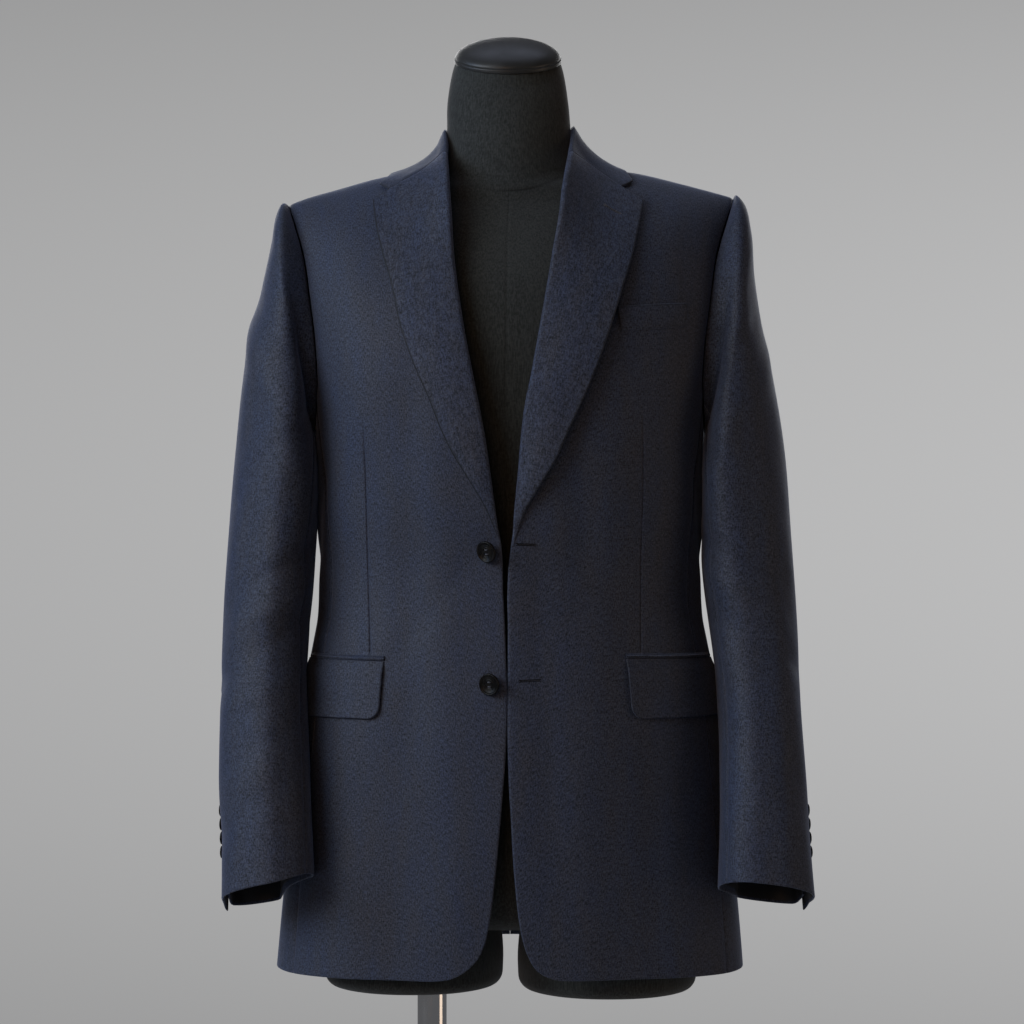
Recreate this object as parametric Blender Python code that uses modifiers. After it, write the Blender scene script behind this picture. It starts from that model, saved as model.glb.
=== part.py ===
"""A two-button suit jacket, worn open on a limbless torso form that stands on a pole.

Metres, +Z up. The front faces -Y, and +X is the wearer's left. The origin is on the floor, at the
centre of the base plate. Sizes in the tables are in millimetres.

The cloth is drawn in pattern space: `turn` is the angle round the body in degrees, from 0 at the
centre front over 90 at the side to 180 at the centre back, and `rise` is the height, which bends
over the shoulder above the chest and is RIDGE_RISE along the shoulder seam.
"""

import math

import bmesh
import bpy
import numpy as np
from mathutils import Matrix, Vector
from mathutils.bvhtree import BVHTree

MM = 0.001
RIGHT, LEFT = -1, 1  # the wearer's sides, as the sign of X
SIDE_NAMES = {RIGHT: "right", LEFT: "left"}

# Cloth
CLOTH = 0.002
GAP = 0.0003
SEAM_TURN = 0.06  # half the gap at an upright seam, in degrees of turn
CENTRE_SEAM_TURN = 0.008  # the same at the centre back
SHOULDER_SEAM = 0.0003  # half the gap at the shoulder seam
SLEEVE_SEAM = 0.00025  # half the gap at the seams of a sleeve
ARMHOLE_GAP = 0.00045
LAPEL_LIFT = 0.0046
TRIM_LIFT = 0.0030
JET_LIFT, JET_THICKNESS = 0.0018, 0.0011

# Pattern space
FRONT_FOOT, BACK_FOOT = 1.27, 1.30  # where the chest and the back start to bend over the shoulder
FRONT_BEND, BACK_BEND = 1.8, 2.2
RIDGE_RISE = 1.51
RIDGE_Y = 0.010

# Grid of the cloth
ARMHOLE_STEPS = 24
FRONT_SEAM_STEP, BACK_SEAM_STEP = 10, 15
SLEEVE_FRONT_STEP, SLEEVE_HIND_STEP = 10, 18
FRONT_COLUMNS, BACK_SHOULDER_COLUMNS = 8, 4
LAPEL_COLUMNS, LAPEL_ROWS = 6, 12
SEAM_SPREAD = (0, 0.035, 0.07, 0.11, 0.165, 0.25, 0.35, 0.45, 0.54, 0.61, 0.68, 0.75, 0.84, 0.92, 1)

# Buttons
FRONT_BUTTON, CUFF_BUTTON = 0.0205, 0.0124
CUFF_BUTTON_PITCH = 0.01275
CUFF_BUTTON_COUNT = 4
CUFF_BUTTON_FIRST = 0.843  # height of the lowest
CUFF_BUTTON_TURN = 0.945  # share of the way round the sleeve from its outer side over the front

# Stand
POLE_X = -0.074
POLE_RADIUS = 0.0138
BASE_RADIUS, BASE_THICKNESS = 0.19, 0.010
FLANGE_RADIUS, FLANGE_HEIGHT = 0.030, 0.014
SOCKET_RADIUS, SOCKET_HEIGHT = 0.024, 0.009
NECK_TILT = math.radians(21)
NECK_TOP = (-0.002, 0.012, 1.592)


def table(columns, rows):
    """A small table in millimetres (and degrees) as arrays under their column names."""
    values = np.array(rows, float)
    return {name: values[:, i] for i, name in enumerate(columns.split())}


# Horizontal sections of the jacket's outside: half width, depth in front and behind, squareness.
BODY = table("up side front back square", [
    (720, 222.0, 128, 124, 2.50),
    (760, 218.5, 129, 125, 2.50),
    (800, 215.0, 130, 124, 2.50),
    (880, 207.0, 130, 120, 2.45),
    (960, 199.5, 128, 112, 2.45),
    (1018, 191.0, 124, 104, 2.40),
    (1040, 186.5, 122, 101, 2.40),
    (1060, 182.5, 120, 98, 2.35),
    (1105, 179.5, 118, 94, 2.35),
    (1160, 182.0, 124, 101, 2.40),
    (1235, 183.7, 132, 110, 2.45),
    (1280, 186.5, 134, 115, 2.50),
    (1320, 192.0, 134, 118, 2.55),
    (1360, 199.0, 133, 119, 2.60),
    (1400, 206.0, 132, 119, 2.60),
    (1456, 224.0, 130, 118, 2.60),
    (1530, 240.0, 128, 116, 2.60),
])

# The shoulder line, seen from the front.
SHOULDER = table("across up", [
    (-240, 1443), (-212, 1452), (-199, 1457), (-161, 1468), (-133, 1476), (-104, 1482.5),
    (-78, 1489), (-40, 1520), (0, 1548), (40, 1522), (78, 1491), (104, 1485), (123, 1482),
    (161, 1473), (210, 1460), (240, 1452),
])

# The armhole seam round one side: top, front, underarm, back and top again.
ARMHOLE = table("turn up", [
    (67.7, 1470), (67.5, 1430), (67.3, 1400), (67.5, 1360), (69.0, 1320), (73.0, 1280),
    (80.0, 1248), (90.0, 1236), (100.0, 1244), (106.5, 1270), (110.5, 1310), (112.3, 1350),
    (112.8, 1400), (112.3, 1470),
])

# Upright seams by height.
FRONT_SEAM = table("up turn", [(732, 63.5), (900, 64.0), (1040, 65.0), (1150, 67.5)])
BACK_SEAM = table("up turn", [(732, 116.0), (900, 115.0), (1040, 113.0), (1150, 110.0)])

# The back's neck edge from its centre out, and the height of its hem.
BACK_NECK = table("across up", [(0, 1491), (30, 1492), (58, 1491)])
BACK_HEM = 742

# The front edge of each front from the straight hem round its corner and up to the break, then
# the roll line up to the neck.
FRONT_EDGE = {
    RIGHT: table("across up", [
        (-72, 733.5), (-58, 735), (-45, 740), (-36, 747), (-27, 758), (-21, 775), (-16, 805),
        (-12, 840), (-7, 898), (-3, 953), (-4, 1044), (-6.5, 1098), (-8, 1134), (-14, 1171),
        (-24, 1243), (-39, 1316), (-47, 1365), (-52, 1410), (-56, 1448), (-65, 1474), (-78, 1491),
    ]),
    LEFT: table("across up", [
        (58, 734.5), (44, 735.5), (34, 738), (25, 744), (18, 754), (11.5, 772), (6.5, 803),
        (2.5, 850), (0, 899), (-1.8, 935), (-1.8, 1044), (-1.8, 1100), (1, 1128), (4.5, 1171),
        (11, 1243), (25, 1316), (33, 1365), (41, 1410), (47, 1448), (60, 1474), (78, 1491),
    ]),
}
LOWER_SHARE = 0.64  # how much of the front edge lies below the height of the underarm

# Each lapel: its roll line and its outer edge, from the break upwards, and the seam to the collar
# from the roll line out to the notch, with the lapel's own top edge beyond it.
LAPEL_ROLL = {
    RIGHT: table("across up", [
        (-9.5, 1138), (-14, 1171), (-18.5, 1207), (-24.5, 1243), (-32, 1280), (-39, 1316),
        (-45, 1353), (-52, 1410), (-55.5, 1448), (-58.5, 1469), (-60.5, 1489),
    ]),
    LEFT: table("across up", [
        (2, 1132), (4.5, 1171), (8, 1207), (11, 1243), (18, 1280), (24.5, 1316), (31, 1353),
        (40.5, 1410), (47, 1448), (49.5, 1472), (54.5, 1493),
    ]),
}
LAPEL_EDGE = {
    RIGHT: table("across up", [
        (-12, 1140), (-25.5, 1171), (-40, 1195), (-56, 1222), (-72.5, 1262), (-88.5, 1298),
        (-100, 1332), (-108.5, 1370), (-120.5, 1410), (-127.5, 1448),
    ]),
    LEFT: table("across up", [
        (4.5, 1134), (18, 1171), (36, 1200), (50, 1230), (64.5, 1262), (76.5, 1291),
        (88, 1322), (100, 1359), (111, 1393), (124, 1447),
    ]),
}
GORGE = {
    RIGHT: table("across up", [
        (-60.5, 1494), (-66, 1489), (-75, 1481), (-84.5, 1474.5), (-94, 1469.5), (-110, 1460.5),
    ]),
    LEFT: table("across up", [
        (54.5, 1498), (66, 1490), (77, 1481), (84.5, 1474.5), (93.5, 1468.5), (102, 1462.5),
    ]),
}
LAPEL_TOP = {
    RIGHT: table("across up", [(-118, 1454.5), (-127.5, 1449)]),
    LEFT: table("across up", [(112, 1456), (124, 1448)]),
}

# The collar on each side from the centre back to the notch. The fold is its top, the hollow draws
# the leaf in between the fold and its edge, and the seam is the foot of the stand. The edge lies
# on the back or the front, at a place across it and a height.
COLLAR = {
    side: table(
        "fold_x fold_y fold_z hollow_x hollow_y hollow_z edge_across edge_up behind "
        "seam_x seam_y seam_z",
        [
            (0, 86, 1531, 0, 96, 1506, 0, 1477, 1, 0, 82, 1492.5),
            (32, 79, 1530, 37, 91, 1506, 50, 1477.5, 1, 34, 75, 1493),
            (54, 58, 1527, 63, 69, 1503, 84, 1479, 1, 63, 55, 1493),
            (fold, 25, 1523.5, hollow, 26, rear, 106, 1483.5, 1, 75, 26, 1494),
            (fold, 0, 1519, hollow, -3, rear - 3, edge, 1481, 0, 73, 0, 1493),
            (fold - 3, -19, 1509, hollow, -25, rear - 12, edge + 3, 1474, 0, 65, -19, 1490),
        ],
    )
    for side, fold, hollow, rear, edge in ((RIGHT, 64.5, 73, 1495.5, 113), (LEFT, 63, 77, 1499, 110))
}
COLLAR_FRONT_FOLD_Y = -32
COLLAR_TIP = {RIGHT: (-122.5, 1466), LEFT: (115, 1468.5)}
COLLAR_LEAF_POINTS = 6
FOLD_HALF_WIDTH, FOLD_DROP = 2.6, 3.5
GORGE_SEAM = 0.7  # half the gap between collar and lapel
COLLAR_END_RISE = 3  # how far the collar's front end stands over the end of the gorge
COLLAR_END_FOOT, COLLAR_END_LEAN = (-1.5, 3, -9), (-2.0, 1, -3.5)  # from the fold there

# The sleeves: the outer and the inner side of each ring by its place across, height and depth,
# half the ring's depth from front to back, and how much higher its front is than its middle.
SLEEVE_COLUMNS = "out out_up out_deep into into_up into_deep depth fore"
SLEEVE = {
    RIGHT: table(SLEEVE_COLUMNS, [
        (216.5, 1452.5, 8, 185.2, 1233, -3, 67, 0),
        (222, 1443, 8, 185.5, 1228, -6, 70, 0),
        (226.1, 1418, 8, 186, 1215, -12, 74, 0),
        (233.7, 1380, 8, 186, 1198, -20, 77, 0),
        (246, 1335, 8, 186, 1178, -26, 78, 0),
        (254, 1285, 8, 186, 1152, -28, 76, 0),
        (260, 1220, 6, 186.5, 1118, -28, 74, 2),
        (265.5, 1150, 0, 188.5, 1076, -30, 71, 4),
        (269.5, 1060, -14, 189.5, 1022, -38, 67, 6),
        (271, 980, -38, 187, 965, -56, 63, 8),
        (269.5, 910, -60, 184.5, 908, -74, 58, 10),
        (266, 852, -74, 182, 862, -86, 54, 12),
        (262, 801, -86, 180, 817, -94, 50, 14),
    ]),
    LEFT: table(SLEEVE_COLUMNS, [
        (215.5, 1461, 8, 185.2, 1233, -3, 67, 0),
        (222.5, 1453, 8, 185.5, 1228, -6, 70, 0),
        (228.5, 1430, 8, 186, 1215, -12, 74, 0),
        (231.5, 1385, 8, 186, 1198, -20, 77, 0),
        (239, 1335, 8, 186, 1178, -26, 78, 0),
        (250, 1285, 8, 187, 1152, -28, 76, 0),
        (260, 1220, 6, 189, 1118, -28, 74, 2),
        (266, 1150, 0, 191, 1076, -30, 71, 4),
        (270, 1060, -14, 192.5, 1022, -38, 67, 6),
        (272, 980, -38, 194, 965, -56, 63, 8),
        (275, 910, -60, 194, 908, -74, 58, 10),
        (277.5, 852, -74, 193.5, 862, -86, 54, 12),
        (280.5, 803, -86, 191.8, 815, -94, 50, 14),
    ]),
}
SLEEVE_SQUARE = 2.4
UNDERARM = 1.234
# How far the sleeves keep off the body, which is more below the pocket flaps' top.
CLEARANCE = table("up off", [(960, 3.8), (1040, 3.8), (1100, 1.6), (1240, 1.6)])

# Trims on the fronts: places across the front and heights. A flap's front edge is given at its
# top, at the start of its corner and at its bottom, and its hind end lies under the sleeve.
FLAP = {
    RIGHT: {"front": (115, 118, 127.5), "top": (1023, 1023.5), "bottom": 970.5},
    LEFT: {"front": (106, 110, 119), "top": (1025.5, 1023.5), "bottom": 971.0},
}
FLAP_END_TURN = 82
FLAP_CORNER = 10
FLAP_COLUMNS, FLAP_ROWS = 8, 4
JET_HEIGHT = 4.6
JET_GAP = 0.6
WELT = {"top": ((97.5, 1347.5), (161.5, 1352.5)), "bottom": ((101.5, 1324.5), (160.5, 1329.5))}
BUTTON_LIFT = 0.0006
BUTTON_BACK = 0.14  # how far its back lies under its rim, as a share of its radius
BUTTON_PLACES = {"upper": (-20.5, 1125.5), "lower": (-18.0, 1003.0)}

# Horizontal sections of the torso form.
FORM = table("up across side middle front back square", [
    (772, 0, 150, 0, 70, 72, 2.2),
    (778, 0, 166, 0, 88, 90, 2.2),
    (792, 0, 175, 0, 98, 100, 2.2),
    (830, 0, 183, 0, 108, 108, 2.2),
    (900, 0, 182, 0, 108, 104, 2.2),
    (1000, 0, 166, 0, 103, 88, 2.2),
    (1105, 0, 152, 0, 97, 76, 2.2),
    (1190, 0, 162, 0, 108, 86, 2.2),
    (1270, 0, 170, 2, 118, 96, 2.2),
    (1330, 0, 174, 5, 118, 96, 2.1),
    (1380, 0, 176, 8, 108, 90, 2.0),
    (1415, 0, 176, 10, 92, 78, 1.9),
    (1438, 0, 174, 10, 78, 70, 1.7),
    (1450, 0, 165, 10, 70, 66, 1.6),
    (1458, 0, 146, 10, 67, 65, 1.6),
    (1465, 0, 122, 10, 65, 64, 1.6),
    (1471, 0, 98, 10, 63, 63, 1.6),
    (1477, 0, 78, 11, 62, 62, 1.8),
    (1485, 0, 68, 12, 61, 60, 2.0),
    (1500, -1, 61.5, 12, 59, 60, 2.0),
    (1520, -1, 59.2, 12, 55, 60, 2.0),
    (1548, -2, 57.8, 12, 49, 58, 2.0),
])
FORM_SEGMENTS = 28
NECK_TOP_RADIUS = 51
NECK_END = table("wider below", [(0.5, 8), (-1.2, 3.3)])  # the last rings under the cap
STUBS = table("across up", [(-91, 714.5), (92, 710.5)])
STUB = table("above side front back", [
    (0, 74, 86, 78), (2, 80, 92, 84), (7, 83.5, 96, 88), (18, 84.5, 97, 90), (80, 80, 90, 86),
])

COLORS = {
    "suiting": ((0.028, 0.034, 0.052, 1), 0.75, 0.0),
    "button_horn": ((0.010, 0.010, 0.011, 1), 0.30, 0.0),
    "form_jersey": ((0.021, 0.022, 0.023, 1), 0.85, 0.0),
    "cap_plastic": ((0.025, 0.026, 0.027, 1), 0.35, 0.0),
    "chrome": ((0.62, 0.63, 0.64, 1), 0.12, 1.0),
    "base_steel": ((0.50, 0.51, 0.52, 1), 0.30, 1.0),
}


# ---------------------------------------------------------------- curves and tables

def smooth(xs, ys, x):
    """Reads the smooth curve through the points (xs, ys) at x, and holds its ends beyond them."""
    x = np.clip(x, xs[0], xs[-1])
    slopes = np.gradient(ys, xs)
    i = np.clip(np.searchsorted(xs, x, side="right") - 1, 0, len(xs) - 2)
    step = xs[i + 1] - xs[i]
    t = (x - xs[i]) / step
    start = (1 + 2 * t) * (1 - t) ** 2 * ys[i] + t * (1 - t) ** 2 * step * slopes[i]
    end = t * t * (3 - 2 * t) * ys[i + 1] + t * t * (t - 1) * step * slopes[i + 1]
    return start + end


def along(points, fractions):
    """Points at these fractions of the length of the smooth curve through the given points."""
    points = np.asarray(points, float)
    chord = np.concatenate([[0], np.cumsum(np.linalg.norm(np.diff(points, axis=0), axis=1))])
    dense_at = np.linspace(0, chord[-1], 40 * len(points))
    dense = np.stack([smooth(chord, axis, dense_at) for axis in points.T], 1)
    length = np.concatenate([[0], np.cumsum(np.linalg.norm(np.diff(dense, axis=0), axis=1))])
    at = np.asarray(fractions, float) * length[-1]
    return np.stack([np.interp(at, length, axis) for axis in dense.T], 1)


def signed_power(value, power):
    return np.sign(value) * np.abs(value) ** power


# ---------------------------------------------------------------- the body under the cloth

def ridge_height(x):
    return smooth(SHOULDER["across"] * MM, SHOULDER["up"] * MM, x)


def section(name, height):
    scale = 1 if name == "square" else MM
    return smooth(BODY["up"] * MM, BODY[name] * scale, height)


def body_point(side, turn, rise):
    """The point of the jacket's outside at a turn in degrees and a rise in metres."""
    turn, rise = np.broadcast_arrays(np.asarray(turn, float), np.asarray(rise, float))
    behind = turn > 90
    foot = np.where(behind, BACK_FOOT, FRONT_FOOT)
    bend = np.where(behind, BACK_BEND, FRONT_BEND)
    arch = np.clip((rise - foot) / (RIDGE_RISE - foot), 0, 1) * np.pi / 2
    across = np.zeros_like(turn)
    for _ in range(6):
        top = ridge_height(side * across)
        height = np.where(rise > foot, foot + (top - foot) * np.sin(arch) ** (2 / bend), rise)
        square = section("square", height)
        across = signed_power(np.sin(np.radians(turn)), 2 / square) * section("side", height)
    lean = np.clip(np.cos(arch), 0, 1) ** (2 / bend)
    depth = np.where(behind, section("back", height), -section("front", height))
    reach = depth * np.abs(np.cos(np.radians(turn))) ** (2 / square)
    return np.stack([side * across, RIDGE_Y * (1 - lean) + reach * lean, height], -1)


def body_normal(side, turn, rise):
    """The direction out of the cloth."""
    turn, rise = np.broadcast_arrays(np.asarray(turn, float), np.asarray(rise, float))
    low, high = np.clip(rise - 0.002, 0, RIDGE_RISE - 0.004), np.clip(rise + 0.002, 0, RIDGE_RISE)
    round_body = body_point(side, turn + 0.5, rise) - body_point(side, turn - 0.5, rise)
    up_body = body_point(side, turn, high) - body_point(side, turn, low)
    normal = np.cross(round_body, up_body) * side
    return normal / np.linalg.norm(normal, axis=-1, keepdims=True)


def pattern(side, across, up, behind=False):
    """The turn and rise of the point seen at (across, up) from the front, or from behind."""
    across, up = np.asarray(across, float), np.asarray(up, float)
    top = ridge_height(across)
    up = np.minimum(up, top)
    share = np.clip(side * across / section("side", up), -1, 1)
    turn = np.degrees(np.arcsin(signed_power(share, section("square", up) / 2)))
    foot, bend = (BACK_FOOT, BACK_BEND) if behind else (FRONT_FOOT, FRONT_BEND)
    arch = np.arcsin(np.clip((up - foot) / (top - foot), 0, 1) ** (bend / 2))
    rise = np.where(up > foot, foot + (RIDGE_RISE - foot) * arch / (np.pi / 2), up)
    return np.stack([180 - turn if behind else turn, rise], -1)


def armhole(side):
    """Pattern points of the armhole seam, ARMHOLE_STEPS + 1 of them at equal steps."""
    index = np.arange(len(ARMHOLE["turn"]), dtype=float)
    at = np.linspace(0, index[-1], 800)
    turn = smooth(index, ARMHOLE["turn"], at)
    behind = turn > 90
    share = np.abs(np.sin(np.radians(turn)))
    up = smooth(index, ARMHOLE["up"], at) * MM
    across = side * share ** (2 / section("square", up)) * section("side", up)
    top = ridge_height(across)
    up = np.minimum(up, top)
    foot = np.where(behind, BACK_FOOT, FRONT_FOOT)
    bend = np.where(behind, BACK_BEND, FRONT_BEND)
    arch = np.arcsin(np.clip((up - foot) / (top - foot), 0, 1) ** (bend / 2))
    rise = np.where(up > foot, foot + (RIDGE_RISE - foot) * arch / (np.pi / 2), up)
    points = body_point(side, turn, rise)
    length = np.concatenate([[0], np.cumsum(np.linalg.norm(np.diff(points, axis=0), axis=1))])
    steps = np.linspace(0, length[-1], ARMHOLE_STEPS + 1)
    return np.stack([np.interp(steps, length, turn), np.interp(steps, length, rise)], 1)


def patch(left, right, bottom, top):
    """A grid of points between four edges: rows run from bottom to top, columns left to right."""
    v = np.linspace(0, 1, len(left))[:, None, None]
    u = np.linspace(0, 1, len(bottom))[None, :, None]
    across = (1 - u) * left[:, None] + u * right[:, None]
    upward = (1 - v) * bottom[None] + v * top[None]
    corners = ((1 - v) * ((1 - u) * bottom[0] + u * bottom[-1])
               + v * ((1 - u) * top[0] + u * top[-1]))
    return across + upward - corners


# ---------------------------------------------------------------- meshes

def material(name):
    found = bpy.data.materials.get(name)
    if found:
        return found
    made = bpy.data.materials.new(name)
    made.use_nodes = True
    color, roughness, metallic = COLORS[name]
    shader = made.node_tree.nodes["Principled BSDF"]
    shader.inputs["Base Color"].default_value = color
    shader.inputs["Roughness"].default_value = roughness
    shader.inputs["Metallic"].default_value = metallic
    made.diffuse_color = color
    return made


def link(name, mesh, finish):
    piece = bpy.data.objects.new(name, mesh)
    mesh.materials.append(material(finish))
    bpy.data.collections["suit_jacket"].objects.link(piece)
    return piece


def grid_normals(grid, around=False):
    """The normals of a grid of points, whose columns run round a closed ring if around is set."""
    if around:
        columns = np.roll(grid, -1, axis=1) - np.roll(grid, 1, axis=1)
    else:
        columns = np.gradient(grid, axis=1)
    normal = np.cross(columns, np.gradient(grid, axis=0))
    return normal / np.linalg.norm(normal, axis=-1, keepdims=True)


def cloth_wall(name, outside, normals, finish="suiting", thickness=CLOTH):
    """A wall of cloth between a grid of points and the same grid moved in along its normals.

    Neighbouring pieces share the normals of their seam, so the gap there stays even through the
    wall, which a Solidify modifier on each piece alone would close on the inside.
    """
    rows, columns = outside.shape[:2]
    made = bmesh.new()
    skins = [[[made.verts.new(point) for point in row] for row in grid]
             for grid in (outside, outside - normals * thickness)]
    outer, inner = skins
    for i in range(rows - 1):
        for j in range(columns - 1):
            corners = ((i, j), (i, j + 1), (i + 1, j + 1), (i + 1, j))
            made.faces.new([outer[a][b] for a, b in corners])
            made.faces.new([inner[a][b] for a, b in reversed(corners)])
    rim = ([(0, j) for j in range(columns)] + [(i, columns - 1) for i in range(1, rows)]
           + [(rows - 1, j) for j in range(columns - 2, -1, -1)]
           + [(i, 0) for i in range(rows - 2, 0, -1)])
    for (a, b), (c, d) in zip(rim, rim[1:] + rim[:1]):
        made.faces.new((outer[c][d], outer[a][b], inner[a][b], inner[c][d]))
    bmesh.ops.recalc_face_normals(made, faces=made.faces[:])
    mesh = bpy.data.meshes.new(name)
    made.to_mesh(mesh)
    made.free()
    mesh.shade_smooth()
    return link(name, mesh, finish)


def body_wall(name, side, grid, lift=0.0, thickness=CLOTH):
    """A wall from a grid of pattern points, moved out from the body by lift."""
    turn, rise = grid[..., 0], grid[..., 1]
    normals = body_normal(side, turn, rise)
    return cloth_wall(name, body_point(side, turn, rise) + normals * lift, normals,
                      thickness=thickness)


def turned(name, profile, steps, finish, place=Matrix.Identity(4)):
    """A turned solid from its profile (radius, height) from the top of the axis to its foot.

    A profile that ends where it starts makes a ring.
    """
    is_ring = profile[0] == profile[-1]
    made = bmesh.new()
    line = [made.verts.new((radius, 0, height)) for radius, height in profile[:-1 if is_ring else None]]
    for a, b in zip(line, line[1:] + line[:1] if is_ring else line[1:]):
        made.edges.new((a, b))
    mesh = bpy.data.meshes.new(name)
    made.to_mesh(mesh)
    made.free()
    piece = link(name, mesh, finish)
    screw = piece.modifiers.new("turn", "SCREW")
    screw.steps = screw.render_steps = steps
    screw.use_merge_vertices = True
    screw.merge_threshold = 0.00005
    screw.use_smooth_shade = True
    piece.matrix_world = place
    return piece


def loft(name, rings, finish):
    """A closed solid through rings of points, counted anticlockwise from above, lowest first."""
    mesh = bpy.data.meshes.new(name)
    made = bmesh.new()
    levels = [[made.verts.new(point) for point in ring] for ring in rings]
    count = len(levels[0])
    for low, high in zip(levels, levels[1:]):
        for j in range(count):
            k = (j + 1) % count
            made.faces.new((low[j], low[k], high[k], high[j]))
    made.faces.new(list(reversed(levels[0])))
    made.faces.new(levels[-1])
    made.to_mesh(mesh)
    made.free()
    mesh.shade_smooth()
    return link(name, mesh, finish)


# ---------------------------------------------------------------- fronts, sides and backs

def seam(rows, top):
    """Pattern points up an upright seam from the hem to the armhole point `top`."""
    points = np.array(list(zip(rows["turn"], rows["up"] * MM)) + [tuple(top)])
    heights = points[:, 1]
    rise = heights[0] + np.array(SEAM_SPREAD) * (heights[-1] - heights[0])
    return np.stack([smooth(heights, points[:, 0], rise), rise], 1)


def shoulder_seam(side, columns):
    """Pattern points of the shoulder seam from the neck to the armhole, on the front."""
    neck = abs(FRONT_EDGE[side]["across"][-1]) * MM
    end = np.abs(body_point(side, *armhole(side)[0])[0])
    across = side * np.linspace(neck, end, columns + 1)
    points = pattern(side, across, ridge_height(across))
    points[:, 1] = RIDGE_RISE - SHOULDER_SEAM
    return points


def front(side):
    hole = armhole(side)
    lower = seam(FRONT_SEAM, hole[FRONT_SEAM_STEP])
    right = np.concatenate([lower, hole[FRONT_SEAM_STEP - 1::-1]])
    right[:, 0] -= SEAM_TURN
    right[-1, 1] = RIDGE_RISE - SHOULDER_SEAM
    edge = FRONT_EDGE[side]
    points = np.stack([edge["across"], edge["up"]], 1)
    upper = np.linspace(LOWER_SHARE, 1, FRONT_SEAM_STEP + 1)
    fractions = np.concatenate([np.array(SEAM_SPREAD) * LOWER_SHARE, upper[1:]])
    edge_points = along(points, fractions) * MM
    left = pattern(side, edge_points[:, 0], edge_points[:, 1])
    top = shoulder_seam(side, FRONT_COLUMNS)
    left[-1] = top[0]
    share = np.linspace(0, 1, FRONT_COLUMNS + 1)[:, None]
    bottom = left[0] * (1 - share) + right[0] * share
    body_wall(f"front_{SIDE_NAMES[side]}", side, patch(left, right, bottom, top))


def side_body(side):
    hole = armhole(side)
    left = seam(FRONT_SEAM, hole[FRONT_SEAM_STEP])
    right = seam(BACK_SEAM, hole[BACK_SEAM_STEP])
    top = hole[FRONT_SEAM_STEP:BACK_SEAM_STEP + 1].copy()
    left[:, 0] += SEAM_TURN
    right[:, 0] -= SEAM_TURN
    top[0], top[-1] = left[-1], right[-1]
    share = np.linspace(0, 1, len(top))[:, None]
    bottom = left[0] * (1 - share) + right[0] * share
    body_wall(f"side_{SIDE_NAMES[side]}", side, patch(left, right, bottom, top))


def back(side):
    hole = armhole(side)
    lower = seam(BACK_SEAM, hole[BACK_SEAM_STEP])
    left = np.concatenate([lower, hole[BACK_SEAM_STEP + 1:]])
    left[:, 0] += SEAM_TURN
    left[-1, 1] = RIDGE_RISE - SHOULDER_SEAM
    rows = len(left)
    centre_top = pattern(side, 0, BACK_NECK["up"][0] * MM, behind=True)
    middle_rise = np.interp(np.arange(rows), [0, len(lower) - 1, rows - 1],
                            [BACK_HEM * MM, UNDERARM, centre_top[1]])
    right = np.stack([np.full(rows, 180 - CENTRE_SEAM_TURN), middle_rise], 1)
    shoulder = shoulder_seam(side, BACK_SHOULDER_COLUMNS)
    shoulder[:, 0] = 180 - shoulder[:, 0]
    neck = pattern(side, side * BACK_NECK["across"] * MM, BACK_NECK["up"] * MM, behind=True)
    top = np.concatenate([shoulder[::-1], neck[::-1]])
    top[-1] = right[-1]
    share = np.linspace(0, 1, len(top))[:, None]
    bottom = left[0] * (1 - share) + right[0] * share
    body_wall(f"back_{SIDE_NAMES[side]}", side, patch(left, right, bottom, top))


# ---------------------------------------------------------------- lapels and collar

def lapel(side):
    roll, outer = LAPEL_ROLL[side], LAPEL_EDGE[side]
    gorge, tip = GORGE[side], LAPEL_TOP[side]
    share = np.linspace(0, 1, LAPEL_ROWS + 1)
    left = along(np.stack([roll["across"], roll["up"]], 1), share)
    right = along(np.stack([outer["across"], outer["up"]], 1), share)
    line = np.stack([np.concatenate([gorge["across"], tip["across"]]),
                     np.concatenate([gorge["up"] - GORGE_SEAM, tip["up"]])], 1)
    top = np.stack([np.interp(np.linspace(0, 1, LAPEL_COLUMNS + 1), np.linspace(0, 1, len(line)), axis)
                    for axis in line.T], 1)
    top[0], right[-1] = left[-1], top[-1]
    bottom = np.linspace(left[0], right[0], len(top))
    grid = patch(left, right, bottom, top) * MM
    body_wall(f"lapel_{SIDE_NAMES[side]}", side,
              pattern(side, grid[..., 0], grid[..., 1]), lift=LAPEL_LIFT)


def leaf_and_stand(seam_foot, fold, hollow, edge):
    """The section of the collar: up the stand, over the fold and down the leaf to its edge."""
    seam_foot, fold, hollow, edge = (np.asarray(p, float) for p in (seam_foot, fold, hollow, edge))
    outward = edge - seam_foot
    outward[2] = 0
    outward /= max(np.linalg.norm(outward), 1e-6)
    inner, outer = fold - outward * FOLD_HALF_WIDTH, fold + outward * FOLD_HALF_WIDTH
    inner[2] -= FOLD_DROP
    outer[2] -= FOLD_DROP
    stand = [seam_foot, (seam_foot + inner) / 2, inner, fold]
    t = np.linspace(0, 1, COLLAR_LEAF_POINTS)[:, None]
    leaf = (1 - t) ** 2 * outer + 2 * t * (1 - t) * hollow + t ** 2 * edge
    return np.concatenate([np.array(stand), leaf])


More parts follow.
